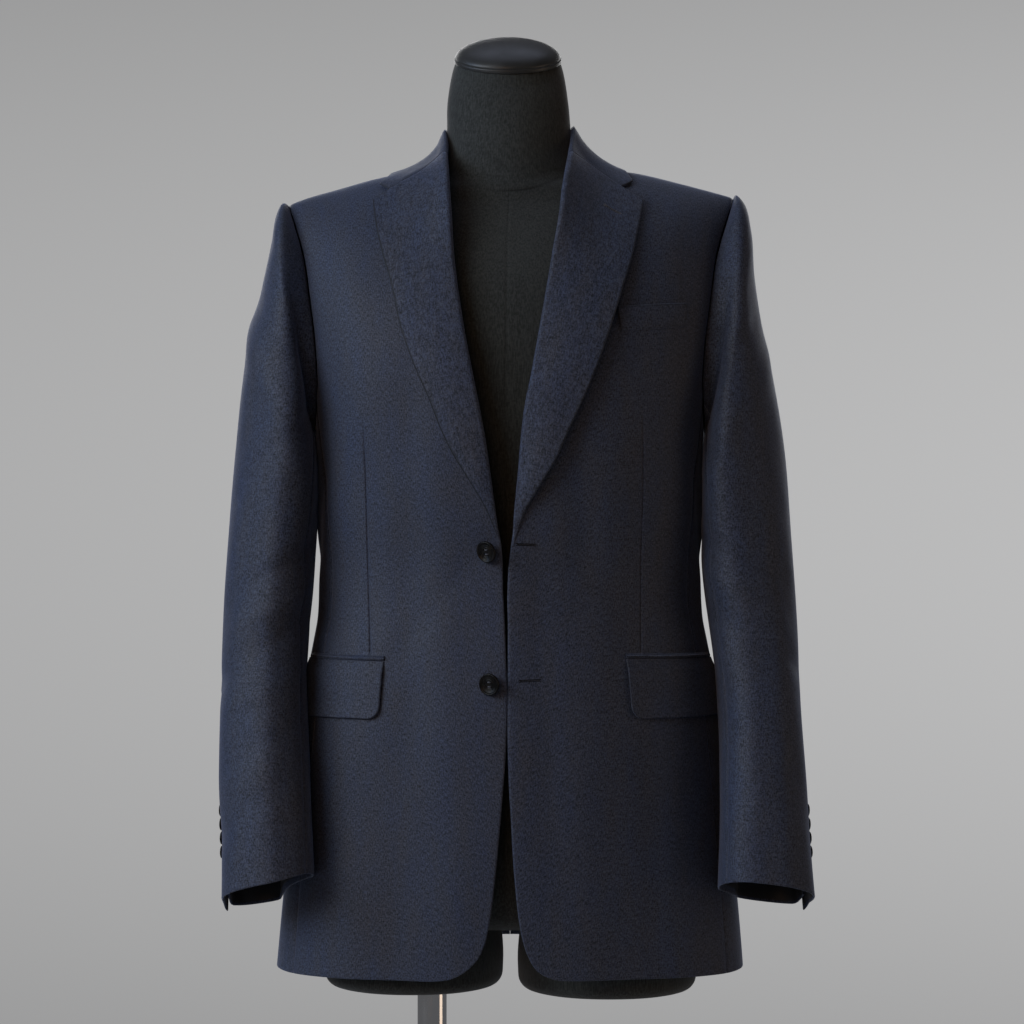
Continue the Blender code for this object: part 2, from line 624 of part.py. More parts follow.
def collar_end(side):
    """The collar's front end: along the gorge to the notch and on to its tip."""
    gorge = np.stack([GORGE[side]["across"], GORGE[side]["up"] + GORGE_SEAM], 1)
    tip = np.array([COLLAR_TIP[side]], float)
    line = np.concatenate([gorge[1:], tip])
    t = np.linspace(0, len(line) - 1, COLLAR_LEAF_POINTS)
    line = np.stack([np.interp(t, np.arange(len(line)), axis) for axis in line.T], 1) * MM
    turn_rise = pattern(side, line[:, 0], line[:, 1])
    on_front = body_point(side, turn_rise[:, 0], turn_rise[:, 1])
    on_front += body_normal(side, turn_rise[:, 0], turn_rise[:, 1]) * LAPEL_LIFT
    fold = np.array([GORGE[side]["across"][0], COLLAR_FRONT_FOLD_Y,
                     GORGE[side]["up"][0] + COLLAR_END_RISE]) * MM
    foot, lean = (fold + np.array([side * shift[0], *shift[1:]]) * MM
                  for shift in (COLLAR_END_FOOT, COLLAR_END_LEAN))
    return np.concatenate([[foot, (foot + lean) / 2, lean, fold], on_front])


def collar():
    halves = {}
    for side in (RIGHT, LEFT):
        rows = COLLAR[side]
        sections = []
        for i in range(len(rows["fold_x"])):
            points = [[rows[f"{part}_{axis}"][i] for axis in "xyz"] for part in ("seam", "fold", "hollow")]
            laid = pattern(side, side * rows["edge_across"][i] * MM, rows["edge_up"][i] * MM,
                           behind=rows["behind"][i] > 0)
            edge = body_point(side, *laid) + body_normal(side, *laid) * LAPEL_LIFT
            edge[0] *= side
            made = leaf_and_stand(*points, edge / MM) * MM
            made[:, 0] *= side
            sections.append(made)
        sections.append(collar_end(side))
        halves[side] = sections
    sections = np.array(halves[RIGHT][:0:-1] + halves[LEFT])
    order = np.arange(len(sections), dtype=float)
    fine = np.linspace(0, len(sections) - 1, 2 * (len(sections) - 1) + 1)
    grid = np.stack([np.stack([smooth(order, sections[:, j, k], fine) for k in range(3)], 1)
                     for j in range(sections.shape[1])], 1)
    cloth_wall("collar", grid, -grid_normals(grid))


# ---------------------------------------------------------------- sleeves

def sleeve_ring(row):
    """One ring of a sleeve: step 0 is its outer side, a quarter of the way round is its front."""
    out = np.array([row["out"], row["out_deep"], row["out_up"]])
    inner = np.array([row["into"], row["into_deep"], row["into_up"]])
    centre, reach = (out + inner) / 2, (out - inner) / 2
    forward = np.array([0, -row["depth"], row["fore"]])
    angle = 2 * np.pi * np.arange(ARMHOLE_STEPS) / ARMHOLE_STEPS
    outward = signed_power(np.cos(angle), 2 / SLEEVE_SQUARE)[:, None] * reach
    return centre + outward + signed_power(np.sin(angle), 2 / SLEEVE_SQUARE)[:, None] * forward


def clear_of_body(points):
    """Moves points of a sleeve out until they are clear of the jacket's body."""
    x, y, z = points[..., 0], points[..., 1], points[..., 2]
    off = smooth(CLEARANCE["up"] * MM, CLEARANCE["off"] * MM, z)
    half = section("side", z) + off
    deep = np.where(y > 0, section("back", z), section("front", z)) + off
    square = section("square", z)
    inside = (np.abs(x) / half) ** square + (np.abs(y) / deep) ** square
    scale = np.where((inside < 1) & (z < UNDERARM), inside ** (-1 / square), 1)
    return points * np.stack([scale, scale, np.ones_like(scale)], -1)


def sleeve_rings(side):
    """The points of a sleeve, a row for each ring from the armhole to the cuff."""
    hole = armhole(side)[:-1]
    edge = body_point(side, hole[:, 0], hole[:, 1])
    towards = edge.mean(axis=0) - edge
    towards /= np.linalg.norm(towards, axis=1, keepdims=True)
    rings = [edge + towards * ARMHOLE_GAP]
    rows = SLEEVE[side]
    for i in range(len(rows["out"])):
        ring = sleeve_ring({name: rows[name][i] for name in rows}) * MM
        ring[:, 0] *= side
        rings.append(clear_of_body(ring))
    return np.array(rings)


def sleeve(side):
    rings = sleeve_rings(side)
    normals = grid_normals(rings, around=True) * side
    for part, first, last in (
        ("topsleeve", SLEEVE_HIND_STEP - ARMHOLE_STEPS, SLEEVE_FRONT_STEP),
        ("undersleeve", SLEEVE_FRONT_STEP, SLEEVE_HIND_STEP),
    ):
        steps = np.arange(first, last + 1) % ARMHOLE_STEPS
        grid = rings[:, steps].copy()
        for edge, inward in ((0, 1), (-1, -2)):
            towards = grid[:, inward] - grid[:, edge]
            towards /= np.linalg.norm(towards, axis=1, keepdims=True)
            grid[:, edge] += towards * SLEEVE_SEAM
        cloth_wall(f"{part}_{SIDE_NAMES[side]}", grid, normals[:, steps])


# ---------------------------------------------------------------- trims

def flap(side):
    """A hip pocket's flap, and the jet that lies above it."""
    shape = FLAP[side]
    top_front, top_back = (value * MM for value in shape["top"])
    heights = np.array([top_front, (shape["bottom"] + FLAP_CORNER) * MM, shape["bottom"] * MM])
    front_turns = pattern(side, side * np.array(shape["front"]) * MM, heights)[:, 0]
    share = np.linspace(0, 1, FLAP_COLUMNS + 1)
    top = np.stack([front_turns[0] + share * (FLAP_END_TURN - front_turns[0]),
                    top_front + share * (top_back - top_front)], 1)
    low = np.stack([front_turns[2] + share * (FLAP_END_TURN - front_turns[2]),
                    np.full(FLAP_COLUMNS + 1, heights[2])], 1)
    down = np.linspace(heights[0], heights[2], FLAP_ROWS + 1)
    left = np.stack([np.interp(-down, -heights, front_turns), down], 1)
    right = np.stack([np.full(FLAP_ROWS + 1, float(FLAP_END_TURN)),
                      np.linspace(top_back, heights[2], FLAP_ROWS + 1)], 1)
    name = SIDE_NAMES[side]
    body_wall(f"flap_{name}", side, patch(left, right, top, low), lift=TRIM_LIFT)
    jet_low = top + np.array([0, JET_GAP * MM])
    jet_high = jet_low + np.array([0, JET_HEIGHT * MM])
    body_wall(f"jet_{name}", side, np.stack([jet_low, jet_high]), lift=JET_LIFT,
              thickness=JET_THICKNESS)


def breast_welt():
    low = np.linspace(*np.array(WELT["bottom"]), 5) * MM
    high = np.linspace(*np.array(WELT["top"]), 5) * MM
    grid = np.stack([low, (low + high) / 2, high])
    body_wall("breast_welt", LEFT, pattern(LEFT, grid[..., 0], grid[..., 1]), lift=TRIM_LIFT)


def button_profile(diameter):
    """Half the section of a dished button, from the middle of its face to the middle of its back."""
    r = diameter / 2
    return [(0, 0.10 * r), (0.55 * r, 0.10 * r), (0.72 * r, 0.24 * r), (0.90 * r, 0.24 * r),
            (r, 0.10 * r), (0.94 * r, -0.06 * r), (0.70 * r, -BUTTON_BACK * r), (0, -BUTTON_BACK * r)]


def facing_place(point, outward):
    """A placement at a point with its own Z along outward."""
    turn = Vector(outward).to_track_quat("Z", "Y").to_matrix().to_4x4()
    return Matrix.Translation(Vector(point)) @ turn


def surface_of(name):
    return BVHTree.FromObject(bpy.data.objects[name], bpy.context.evaluated_depsgraph_get())


def front_buttons():
    """The buttons sit on the front's own surface, where a line from straight ahead meets it."""
    cloth = surface_of("front_right")
    for name, (across, up) in BUTTON_PLACES.items():
        point, outward, _, _ = cloth.ray_cast(Vector((across * MM, -1, up * MM)), Vector((0, 1, 0)))
        point = point + outward * (BUTTON_BACK * FRONT_BUTTON / 2 + BUTTON_LIFT)
        turned(f"front_button_{name}", button_profile(FRONT_BUTTON), 20, "button_horn",
               facing_place(point, outward))


def cuff_buttons(side):
    """Buttons in a row up the hind seam at each cuff, facing out and back."""
    cloth = surface_of(f"topsleeve_{SIDE_NAMES[side]}")
    around = sleeve_rings(side)
    step = CUFF_BUTTON_TURN * ARMHOLE_STEPS
    column = math.floor(step)
    line = around[:, column] + (step - column) * (around[:, column + 1] - around[:, column])
    for i in range(CUFF_BUTTON_COUNT):
        up = CUFF_BUTTON_FIRST + i * CUFF_BUTTON_PITCH
        near = Vector([np.interp(up, line[::-1, 2], line[::-1, k]) for k in range(3)])
        outward = (near - Vector(around[-3].mean(axis=0))) * Vector((1, 1, 0))
        point, outward, _, _ = cloth.find_nearest(near + outward.normalized() * 0.004)
        point = point + outward * (BUTTON_BACK * CUFF_BUTTON / 2 + BUTTON_LIFT)
        turned(f"cuff_button_{SIDE_NAMES[side]}_{i + 1}", button_profile(CUFF_BUTTON), 12,
               "button_horn", facing_place(point, outward))


# ---------------------------------------------------------------- torso form and stand

def form_ring(side_half, front, back, square, middle, up, across=0.0):
    angle = np.linspace(0, 2 * np.pi, FORM_SEGMENTS, endpoint=False)
    x = across + side_half * signed_power(np.cos(angle), 2 / square)
    depth = np.where(np.sin(angle) > 0, back, front)
    y = middle + depth * signed_power(np.sin(angle), 2 / square)
    return np.stack([x, y, np.broadcast_to(up, x.shape)], 1)


def neck_top_ring(radius, below):
    """A ring square to the tilted neck top, at a distance below the cap."""
    angle = np.linspace(0, 2 * np.pi, FORM_SEGMENTS, endpoint=False)
    flat = np.stack([radius * np.cos(angle), radius * np.sin(angle), np.full(FORM_SEGMENTS, -below)], 1)
    tilt = np.array(Matrix.Rotation(NECK_TILT, 3, "X"))
    return flat @ tilt.T + np.array(NECK_TOP)


def torso():
    rings = [form_ring(*(FORM[name][i] * MM for name in ("side", "front", "back")),
                       FORM["square"][i],
                       *(FORM[name][i] * MM for name in ("middle", "up", "across")))
             for i in range(len(FORM["up"]))]
    rings += [neck_top_ring((NECK_TOP_RADIUS + wider) * MM, below * MM)
              for wider, below in zip(NECK_END["wider"], NECK_END["below"])]
    body = loft("form_torso", rings, "form_jersey")
    for across, up, side in zip(STUBS["across"], STUBS["up"], ("right", "left")):
        stub_rings = [form_ring(STUB["side"][i] * MM, STUB["front"][i] * MM, STUB["back"][i] * MM,
                                2.2, 0, (up + STUB["above"][i]) * MM, across * MM)
                      for i in range(len(STUB["above"]))]
        stub = loft(f"stub_{side}_joined", stub_rings, "form_jersey")
        stub.hide_render = True
        stub.display_type = "WIRE"
        bpy.data.collections["suit_jacket"].objects.unlink(stub)
        bpy.data.collections["helpers"].objects.link(stub)
        join = body.modifiers.new(f"stub_{side}", "BOOLEAN")
        join.operation = "UNION"
        join.object = stub


def neck_cap():
    r = NECK_TOP_RADIUS * MM
    profile = [(0, 0.0180), (0.35 * r, 0.0168), (0.64 * r, 0.0130), (0.85 * r, 0.0077),
               (0.97 * r, 0.0020), (r, -0.0020), (0.985 * r, -0.0030), (0, -0.0030)]
    place = Matrix.Translation(Vector(NECK_TOP)) @ Matrix.Rotation(NECK_TILT, 4, "X")
    turned("neck_cap", profile, 24, "cap_plastic", place)


def stand():
    pole_foot = BASE_THICKNESS + GAP
    pole_head = STUBS["up"][0] * MM - GAP
    base = Matrix.Identity(4)
    r, t, edge = BASE_RADIUS, BASE_THICKNESS, 0.003
    turned("base_plate", [(0, t), (r - edge, t), (r, t - edge), (r, 0), (0, 0)], 40,
           "base_steel", base)
    at_pole = Matrix.Translation((POLE_X, 0, 0))
    turned("pole", [(0, pole_head), (POLE_RADIUS, pole_head), (POLE_RADIUS, pole_foot),
                    (0, pole_foot)], 20, "chrome", at_pole)
    hole = POLE_RADIUS + 1.5 * GAP
    for name, outer, low, high in (
        ("pole_flange", FLANGE_RADIUS, pole_foot, pole_foot + FLANGE_HEIGHT),
        ("pole_socket", SOCKET_RADIUS, pole_head - SOCKET_HEIGHT, pole_head),
    ):
        ring = [(hole, high), (outer - 0.001, high), (outer, high - 0.001), (outer, low),
                (hole, low), (hole, high)]
        turned(name, ring, 20, "chrome", at_pole)


# ---------------------------------------------------------------- the whole part

def main():
    for thing in list(bpy.data.objects):
        bpy.data.objects.remove(thing)
    for name in ("suit_jacket", "helpers"):
        group = bpy.data.collections.get(name) or bpy.data.collections.new(name)
        if group.name not in bpy.context.scene.collection.children:
            bpy.context.scene.collection.children.link(group)
    bpy.data.collections["helpers"].hide_render = True
    for side in (RIGHT, LEFT):
        front(side)
        side_body(side)
        back(side)
        lapel(side)
        sleeve(side)
        flap(side)
        cuff_buttons(side)
    collar()
    breast_welt()
    front_buttons()
    torso()
    neck_cap()
    stand()


main()
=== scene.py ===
"""The looks of a two-button suit jacket worn open on a torso form that stands on a pole.

Metres, +Z up, the front faces -Y and +X is the wearer's left. Sizes in the tables are in
millimetres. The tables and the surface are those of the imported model, drawn finer here.
"""

import math

import bmesh
import bpy
import numpy as np
from mathutils import Matrix, Vector
from mathutils.bvhtree import BVHTree


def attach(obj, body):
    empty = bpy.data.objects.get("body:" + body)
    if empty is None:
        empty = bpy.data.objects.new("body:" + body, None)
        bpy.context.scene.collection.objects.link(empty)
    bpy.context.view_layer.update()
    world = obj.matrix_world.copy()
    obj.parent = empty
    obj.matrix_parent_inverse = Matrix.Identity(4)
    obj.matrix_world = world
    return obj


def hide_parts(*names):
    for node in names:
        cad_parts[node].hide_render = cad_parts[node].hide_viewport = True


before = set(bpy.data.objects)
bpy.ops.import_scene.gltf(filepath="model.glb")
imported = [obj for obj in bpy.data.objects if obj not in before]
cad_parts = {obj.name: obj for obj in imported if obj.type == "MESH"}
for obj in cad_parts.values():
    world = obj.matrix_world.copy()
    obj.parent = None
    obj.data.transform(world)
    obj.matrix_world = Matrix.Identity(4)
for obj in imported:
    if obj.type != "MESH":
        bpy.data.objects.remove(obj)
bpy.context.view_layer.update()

MM = 0.001
RIGHT, LEFT = -1, 1  # the wearer's sides, as the sign of X
SIDE_NAMES = {RIGHT: "right", LEFT: "left"}

# Cloth
CLOTH = 0.002
GAP = 0.0003
SEAM_TURN = 0.06  # half the gap at an upright seam, in degrees of turn
CENTRE_SEAM_TURN = 0.008  # the same at the centre back
SHOULDER_SEAM = 0.0003  # half the gap at the shoulder seam
ARMHOLE_GAP = 0.00045
LAPEL_LIFT = 0.0046
JET_THICKNESS = 0.0011

# Pattern space
FRONT_FOOT, BACK_FOOT = 1.27, 1.30  # where the chest and the back start to bend over the shoulder
FRONT_BEND, BACK_BEND = 1.8, 2.2
RIDGE_RISE = 1.51
RIDGE_Y = 0.010

# Grid of the cloth
ARMHOLE_STEPS = 24
FRONT_SEAM_STEP, BACK_SEAM_STEP = 10, 15
SLEEVE_FRONT_STEP, SLEEVE_HIND_STEP = 10, 18
FRONT_COLUMNS, BACK_SHOULDER_COLUMNS = 8, 4
LAPEL_COLUMNS, LAPEL_ROWS = 6, 12
SEAM_SPREAD = (0, 0.035, 0.07, 0.11, 0.165, 0.25, 0.35, 0.45, 0.54, 0.61, 0.68, 0.75, 0.84, 0.92, 1)

# Buttons
FRONT_BUTTON, CUFF_BUTTON = 0.0205, 0.0124
CUFF_BUTTON_PITCH = 0.01275
CUFF_BUTTON_COUNT = 4
CUFF_BUTTON_FIRST = 0.843  # height of the lowest
CUFF_BUTTON_TURN = 0.945  # share of the way round the sleeve from its outer side over the front

# Stand
POLE_X = -0.074
POLE_RADIUS = 0.0138
BASE_RADIUS, BASE_THICKNESS = 0.19, 0.010
FLANGE_RADIUS, FLANGE_HEIGHT = 0.030, 0.014
SOCKET_RADIUS, SOCKET_HEIGHT = 0.024, 0.009
NECK_TILT = math.radians(21)
NECK_TOP = (-0.002, 0.012, 1.592)


def table(columns, rows):
    """A small table in millimetres (and degrees) as arrays under their column names."""
    values = np.array(rows, float)
    return {name: values[:, i] for i, name in enumerate(columns.split())}


# Horizontal sections of the jacket's outside: half width, depth in front and behind, squareness.
BODY = table("up side front back square", [
    (720, 222.0, 128, 124, 2.50),
    (760, 218.5, 129, 125, 2.50),
    (800, 215.0, 130, 124, 2.50),
    (880, 207.0, 130, 120, 2.45),
    (960, 199.5, 128, 112, 2.45),
    (1018, 191.0, 124, 104, 2.40),
    (1040, 186.5, 122, 101, 2.40),
    (1060, 182.5, 120, 98, 2.35),
    (1105, 179.5, 118, 94, 2.35),
    (1160, 182.0, 124, 101, 2.40),
    (1235, 183.7, 132, 110, 2.45),
    (1280, 186.5, 134, 115, 2.50),
    (1320, 192.0, 134, 118, 2.55),
    (1360, 199.0, 133, 119, 2.60),
    (1400, 206.0, 132, 119, 2.60),
    (1456, 224.0, 130, 118, 2.60),
    (1530, 240.0, 128, 116, 2.60),
])

# The shoulder line, seen from the front.
SHOULDER = table("across up", [
    (-240, 1443), (-212, 1452), (-199, 1457), (-161, 1468), (-133, 1476), (-104, 1482.5),
    (-78, 1489), (-40, 1520), (0, 1548), (40, 1522), (78, 1491), (104, 1485), (123, 1482),
    (161, 1473), (210, 1460), (240, 1452),
])

# The armhole seam round one side: top, front, underarm, back and top again.
ARMHOLE = table("turn up", [
    (67.7, 1470), (67.5, 1430), (67.3, 1400), (67.5, 1360), (69.0, 1320), (73.0, 1280),
    (80.0, 1248), (90.0, 1236), (100.0, 1244), (106.5, 1270), (110.5, 1310), (112.3, 1350),
    (112.8, 1400), (112.3, 1470),
])

# Upright seams by height.
FRONT_SEAM = table("up turn", [(732, 63.5), (900, 64.0), (1040, 65.0), (1150, 67.5)])
BACK_SEAM = table("up turn", [(732, 116.0), (900, 115.0), (1040, 113.0), (1150, 110.0)])

# The back's neck edge from its centre out, and the height of its hem.
BACK_NECK = table("across up", [(0, 1491), (30, 1492), (58, 1491)])
BACK_HEM = 742

# The front edge of each front from the straight hem round its corner and up to the break, then
# the roll line up to the neck.
FRONT_EDGE = {
    RIGHT: table("across up", [
        (-72, 733.5), (-58, 735), (-45, 740), (-36, 747), (-27, 758), (-21, 775), (-16, 805),
        (-12, 840), (-7, 898), (-3, 953), (-4, 1044), (-6.5, 1098), (-8, 1134), (-14, 1171),
        (-24, 1243), (-39, 1316), (-47, 1365), (-52, 1410), (-56, 1448), (-65, 1474), (-78, 1491),
    ]),
    LEFT: table("across up", [
        (58, 734.5), (44, 735.5), (34, 738), (25, 744), (18, 754), (11.5, 772), (6.5, 803),
        (2.5, 850), (0, 899), (-1.8, 935), (-1.8, 1044), (-1.8, 1100), (1, 1128), (4.5, 1171),
        (11, 1243), (25, 1316), (33, 1365), (41, 1410), (47, 1448), (60, 1474), (78, 1491),
    ]),
}
LOWER_SHARE = 0.64  # how much of the front edge lies below the height of the underarm

# Each lapel: its roll line and its outer edge, from the break upwards, and the seam to the collar
# from the roll line out to the notch, with the lapel's own top edge beyond it.
LAPEL_ROLL = {
    RIGHT: table("across up", [
        (-9.5, 1138), (-14, 1171), (-18.5, 1207), (-24.5, 1243), (-32, 1280), (-39, 1316),
        (-45, 1353), (-52, 1410), (-55.5, 1448), (-58.5, 1469), (-60.5, 1489),
    ]),
    LEFT: table("across up", [
        (2, 1132), (4.5, 1171), (8, 1207), (11, 1243), (18, 1280), (24.5, 1316), (31, 1353),
        (40.5, 1410), (47, 1448), (49.5, 1472), (54.5, 1493),
    ]),
}
LAPEL_EDGE = {
    RIGHT: table("across up", [
        (-12, 1140), (-25.5, 1171), (-40, 1195), (-56, 1222), (-72.5, 1262), (-88.5, 1298),
        (-100, 1332), (-108.5, 1370), (-120.5, 1410), (-127.5, 1448),
    ]),
    LEFT: table("across up", [
        (4.5, 1134), (18, 1171), (36, 1200), (50, 1230), (64.5, 1262), (76.5, 1291),
        (88, 1322), (100, 1359), (111, 1393), (124, 1447),
    ]),
}
GORGE = {
    RIGHT: table("across up", [
        (-60.5, 1494), (-66, 1489), (-75, 1481), (-84.5, 1474.5), (-94, 1469.5), (-110, 1460.5),
    ]),
    LEFT: table("across up", [
        (54.5, 1498), (66, 1490), (77, 1481), (84.5, 1474.5), (93.5, 1468.5), (102, 1462.5),
    ]),
}
LAPEL_TOP = {
    RIGHT: table("across up", [(-118, 1454.5), (-127.5, 1449)]),
    LEFT: table("across up", [(112, 1456), (124, 1448)]),
}

# The collar on each side from the centre back to the notch. The fold is its top, the hollow draws
# the leaf in between the fold and its edge, and the seam is the foot of the stand. The edge lies
# on the back or the front, at a place across it and a height.
COLLAR = {
    side: table(
        "fold_x fold_y fold_z hollow_x hollow_y hollow_z edge_across edge_up behind "
        "seam_x seam_y seam_z",
        [
            (0, 86, 1531, 0, 96, 1506, 0, 1477, 1, 0, 82, 1492.5),
            (32, 79, 1530, 37, 91, 1506, 50, 1477.5, 1, 34, 75, 1493),
            (54, 58, 1527, 63, 69, 1503, 84, 1479, 1, 63, 55, 1493),
            (fold, 25, 1523.5, hollow, 26, rear, 106, 1483.5, 1, 75, 26, 1494),
            (fold, 0, 1519, hollow, -3, rear - 3, edge, 1481, 0, 73, 0, 1493),
            (fold - 3, -19, 1509, hollow, -25, rear - 12, edge + 3, 1474, 0, 65, -19, 1490),
        ],
    )
    for side, fold, hollow, rear, edge in ((RIGHT, 64.5, 73, 1495.5, 113),
                                           (LEFT, 63, 77, 1499, 110))
}
COLLAR_TIP = {RIGHT: (-122.5, 1466), LEFT: (115, 1468.5)}
COLLAR_LEAF_POINTS = 6
FOLD_HALF_WIDTH, FOLD_DROP = 2.6, 3.5

# The sleeves: the outer and the inner side of each ring by its place across, height and depth,
# half the ring's depth from front to back, and how much higher its front is than its middle.
SLEEVE_COLUMNS = "out out_up out_deep into into_up into_deep depth fore"
SLEEVE = {
    RIGHT: table(SLEEVE_COLUMNS, [
        (218, 1451.5, 8, 185.2, 1233, -3, 67, 0),
        (222, 1443, 8, 183, 1228, -6, 70, 0),
        (226.1, 1418, 8, 180.5, 1215, -12, 74, 0),
        (233.7, 1380, 8, 179.5, 1198, -20, 77, 0),
        (246, 1335, 8, 179.5, 1178, -26, 78, 0),
        (254, 1285, 8, 181.2, 1152, -28, 76, 0),
        (260, 1220, 6, 184, 1118, -28, 74, 2),
        (265.5, 1150, 0, 186.5, 1076, -30, 71, 4),
        (269.5, 1060, -14, 189, 1022, -38, 67, 6),
        (271, 980, -38, 187, 965, -56, 63, 8),
        (269.5, 910, -60, 184.5, 908, -74, 58, 10),
        (266, 852, -74, 182, 862, -86, 54, 12),
        (265.5, 801, -86, 180, 817, -94, 50, 14),
    ]),
    LEFT: table(SLEEVE_COLUMNS, [
        (217.5, 1459.5, 8, 185.2, 1233, -3, 67, 0),
        (222.5, 1453, 8, 183, 1228, -6, 70, 0),
        (228.5, 1430, 8, 180.5, 1215, -12, 74, 0),
        (231.5, 1385, 8, 179, 1198, -20, 77, 0),
        (239, 1335, 8, 179, 1178, -26, 78, 0),
        (250, 1285, 8, 179.3, 1152, -28, 76, 0),
        (260, 1220, 6, 180.5, 1118, -28, 74, 2),
        (266, 1150, 0, 184, 1076, -30, 71, 4),
        (270, 1060, -14, 190.5, 1022, -38, 67, 6),
        (272, 980, -38, 194, 965, -56, 63, 8),
        (275, 910, -60, 194, 908, -74, 58, 10),
        (277.5, 852, -74, 193.5, 862, -86, 54, 12),
        (280.5, 803, -86, 191.8, 815, -94, 50, 14),
    ]),
}
SLEEVE_SQUARE = 2.4
UNDERARM = 1.234
# How far the sleeves keep off the body, which is more below the pocket flaps' top.
CLEARANCE = table("up off", [(960, 3.8), (1040, 3.8), (1100, 1.6), (1240, 1.6)])

# Trims on the fronts: places across the front and heights. A flap's front edge is given at its
# top and at the start of its corner, its top at its front and hind ends, and its hind end lies
# under the sleeve.
FLAP = {
    RIGHT: {"front": (115, 118), "top": (1023, 1023.5), "bottom": 970.5},
    LEFT: {"front": (106, 110), "top": (1025.5, 1023.5), "bottom": 971.0},
}
FLAP_END_TURN = 82
FLAP_CORNER = 10
JET_HEIGHT = 4.6
JET_GAP = 0.6
# how dark the painted shadow along the free edges of the flaps, jets and welt is
TRIM_EDGE_SHADOW = 0.4
WELT = {"top": ((97.5, 1347.5), (161.5, 1352.5)), "bottom": ((101.5, 1324.5), (160.5, 1329.5))}
BUTTON_PLACES = {"upper": (-20.5, 1125.5), "lower": (-18.0, 1003.0)}

# Horizontal sections of the torso form.
FORM = table("up across side middle front back square", [
    (772, 0, 150, 0, 70, 72, 2.2),
    (778, 0, 166, 0, 88, 90, 2.2),
    (792, 0, 175, 0, 98, 100, 2.2),
    (830, 0, 183, 0, 108, 108, 2.2),
    (900, 0, 182, 0, 108, 104, 2.2),
    (1000, 0, 166, 0, 103, 88, 2.2),
    (1105, 0, 152, 0, 97, 76, 2.2),
    (1190, 0, 162, 0, 108, 86, 2.2),
    (1270, 0, 170, 2, 118, 96, 2.2),
    (1330, 0, 174, 5, 118, 96, 2.1),
    (1380, 0, 176, 8, 108, 90, 2.0),
    (1415, 0, 176, 10, 92, 78, 1.9),
    (1438, 0, 174, 10, 78, 70, 1.7),
    (1450, 0, 165, 10, 70, 66, 1.6),
    (1458, 0, 146, 10, 67, 65, 1.6),
    (1465, 0, 122, 10, 65, 64, 1.6),
    (1471, 0, 98, 10, 63, 63, 1.6),
    (1477, 0, 78, 11, 62, 62, 1.8),
    (1485, 0, 68, 12, 61, 60, 2.0),
    (1500, -1, 61.5, 12, 59, 60, 2.0),
    (1520, -1, 59.2, 12, 55, 60, 2.0),
    (1548, -2, 57.8, 12, 49, 58, 2.0),
])
NECK_TOP_RADIUS = 51
NECK_END = table("wider below", [(0.5, 8), (-1.2, 3.3)])  # the last rings under the cap
STUBS = table("across up", [(-91, 714.5), (92, 710.5)])
STUB = table("above side front back", [
    (0, 74, 86, 78), (2, 80, 92, 84), (7, 83.5, 96, 88), (18, 84.5, 97, 90), (80, 80, 90, 86),
])


# ---------------------------------------------------------------- curves and tables

def smooth(xs, ys, x):
    """Reads the smooth curve through the points (xs, ys) at x, and holds its ends beyond them."""
    x = np.clip(x, xs[0], xs[-1])
    slopes = np.gradient(ys, xs)
    i = np.clip(np.searchsorted(xs, x, side="right") - 1, 0, len(xs) - 2)
    step = xs[i + 1] - xs[i]
    t = (x - xs[i]) / step
    start = (1 + 2 * t) * (1 - t) ** 2 * ys[i] + t * (1 - t) ** 2 * step * slopes[i]
    end = t * t * (3 - 2 * t) * ys[i + 1] + t * t * (t - 1) * step * slopes[i + 1]
    return start + end


def lengths(points):
    """The length along a line of points, at each of them."""
    return np.concatenate([[0], np.cumsum(np.linalg.norm(np.diff(points, axis=0), axis=1))])


def along(points, fractions):
    """Points at these fractions of the length of the smooth curve through the given points."""
    points = np.asarray(points, float)
    chord = lengths(points)
    dense_at = np.linspace(0, chord[-1], 40 * len(points))
    dense = np.stack([smooth(chord, axis, dense_at) for axis in points.T], 1)
    length = lengths(dense)
    at = np.asarray(fractions, float) * length[-1]
    return np.stack([np.interp(at, length, axis) for axis in dense.T], 1)


def seen(rows):
    """A table's places across and heights, as points."""
    return np.stack([rows["across"], rows["up"]], 1)


def signed_power(value, power):
    return np.sign(value) * np.abs(value) ** power


# ---------------------------------------------------------------- the body under the cloth

def ridge_height(x):
    return smooth(SHOULDER["across"] * MM, SHOULDER["up"] * MM, x)


def section(name, height):
    scale = 1 if name == "square" else MM
    return smooth(BODY["up"] * MM, BODY[name] * scale, height)


def body_point(side, turn, rise):
    """The point of the jacket's outside at a turn in degrees and a rise in metres."""
    turn, rise = np.broadcast_arrays(np.asarray(turn, float), np.asarray(rise, float))
    behind = turn > 90
    foot = np.where(behind, BACK_FOOT, FRONT_FOOT)
    bend = np.where(behind, BACK_BEND, FRONT_BEND)
    arch = np.clip((rise - foot) / (RIDGE_RISE - foot), 0, 1) * np.pi / 2
    across = np.zeros_like(turn)
    for _ in range(6):
        top = ridge_height(side * across)
        height = np.where(rise > foot, foot + (top - foot) * np.sin(arch) ** (2 / bend), rise)
        square = section("square", height)
        across = signed_power(np.sin(np.radians(turn)), 2 / square) * section("side", height)
    lean = np.clip(np.cos(arch), 0, 1) ** (2 / bend)
    depth = np.where(behind, section("back", height), -section("front", height))
    reach = depth * np.abs(np.cos(np.radians(turn))) ** (2 / square)
    return np.stack([side * across, RIDGE_Y * (1 - lean) + reach * lean, height], -1)


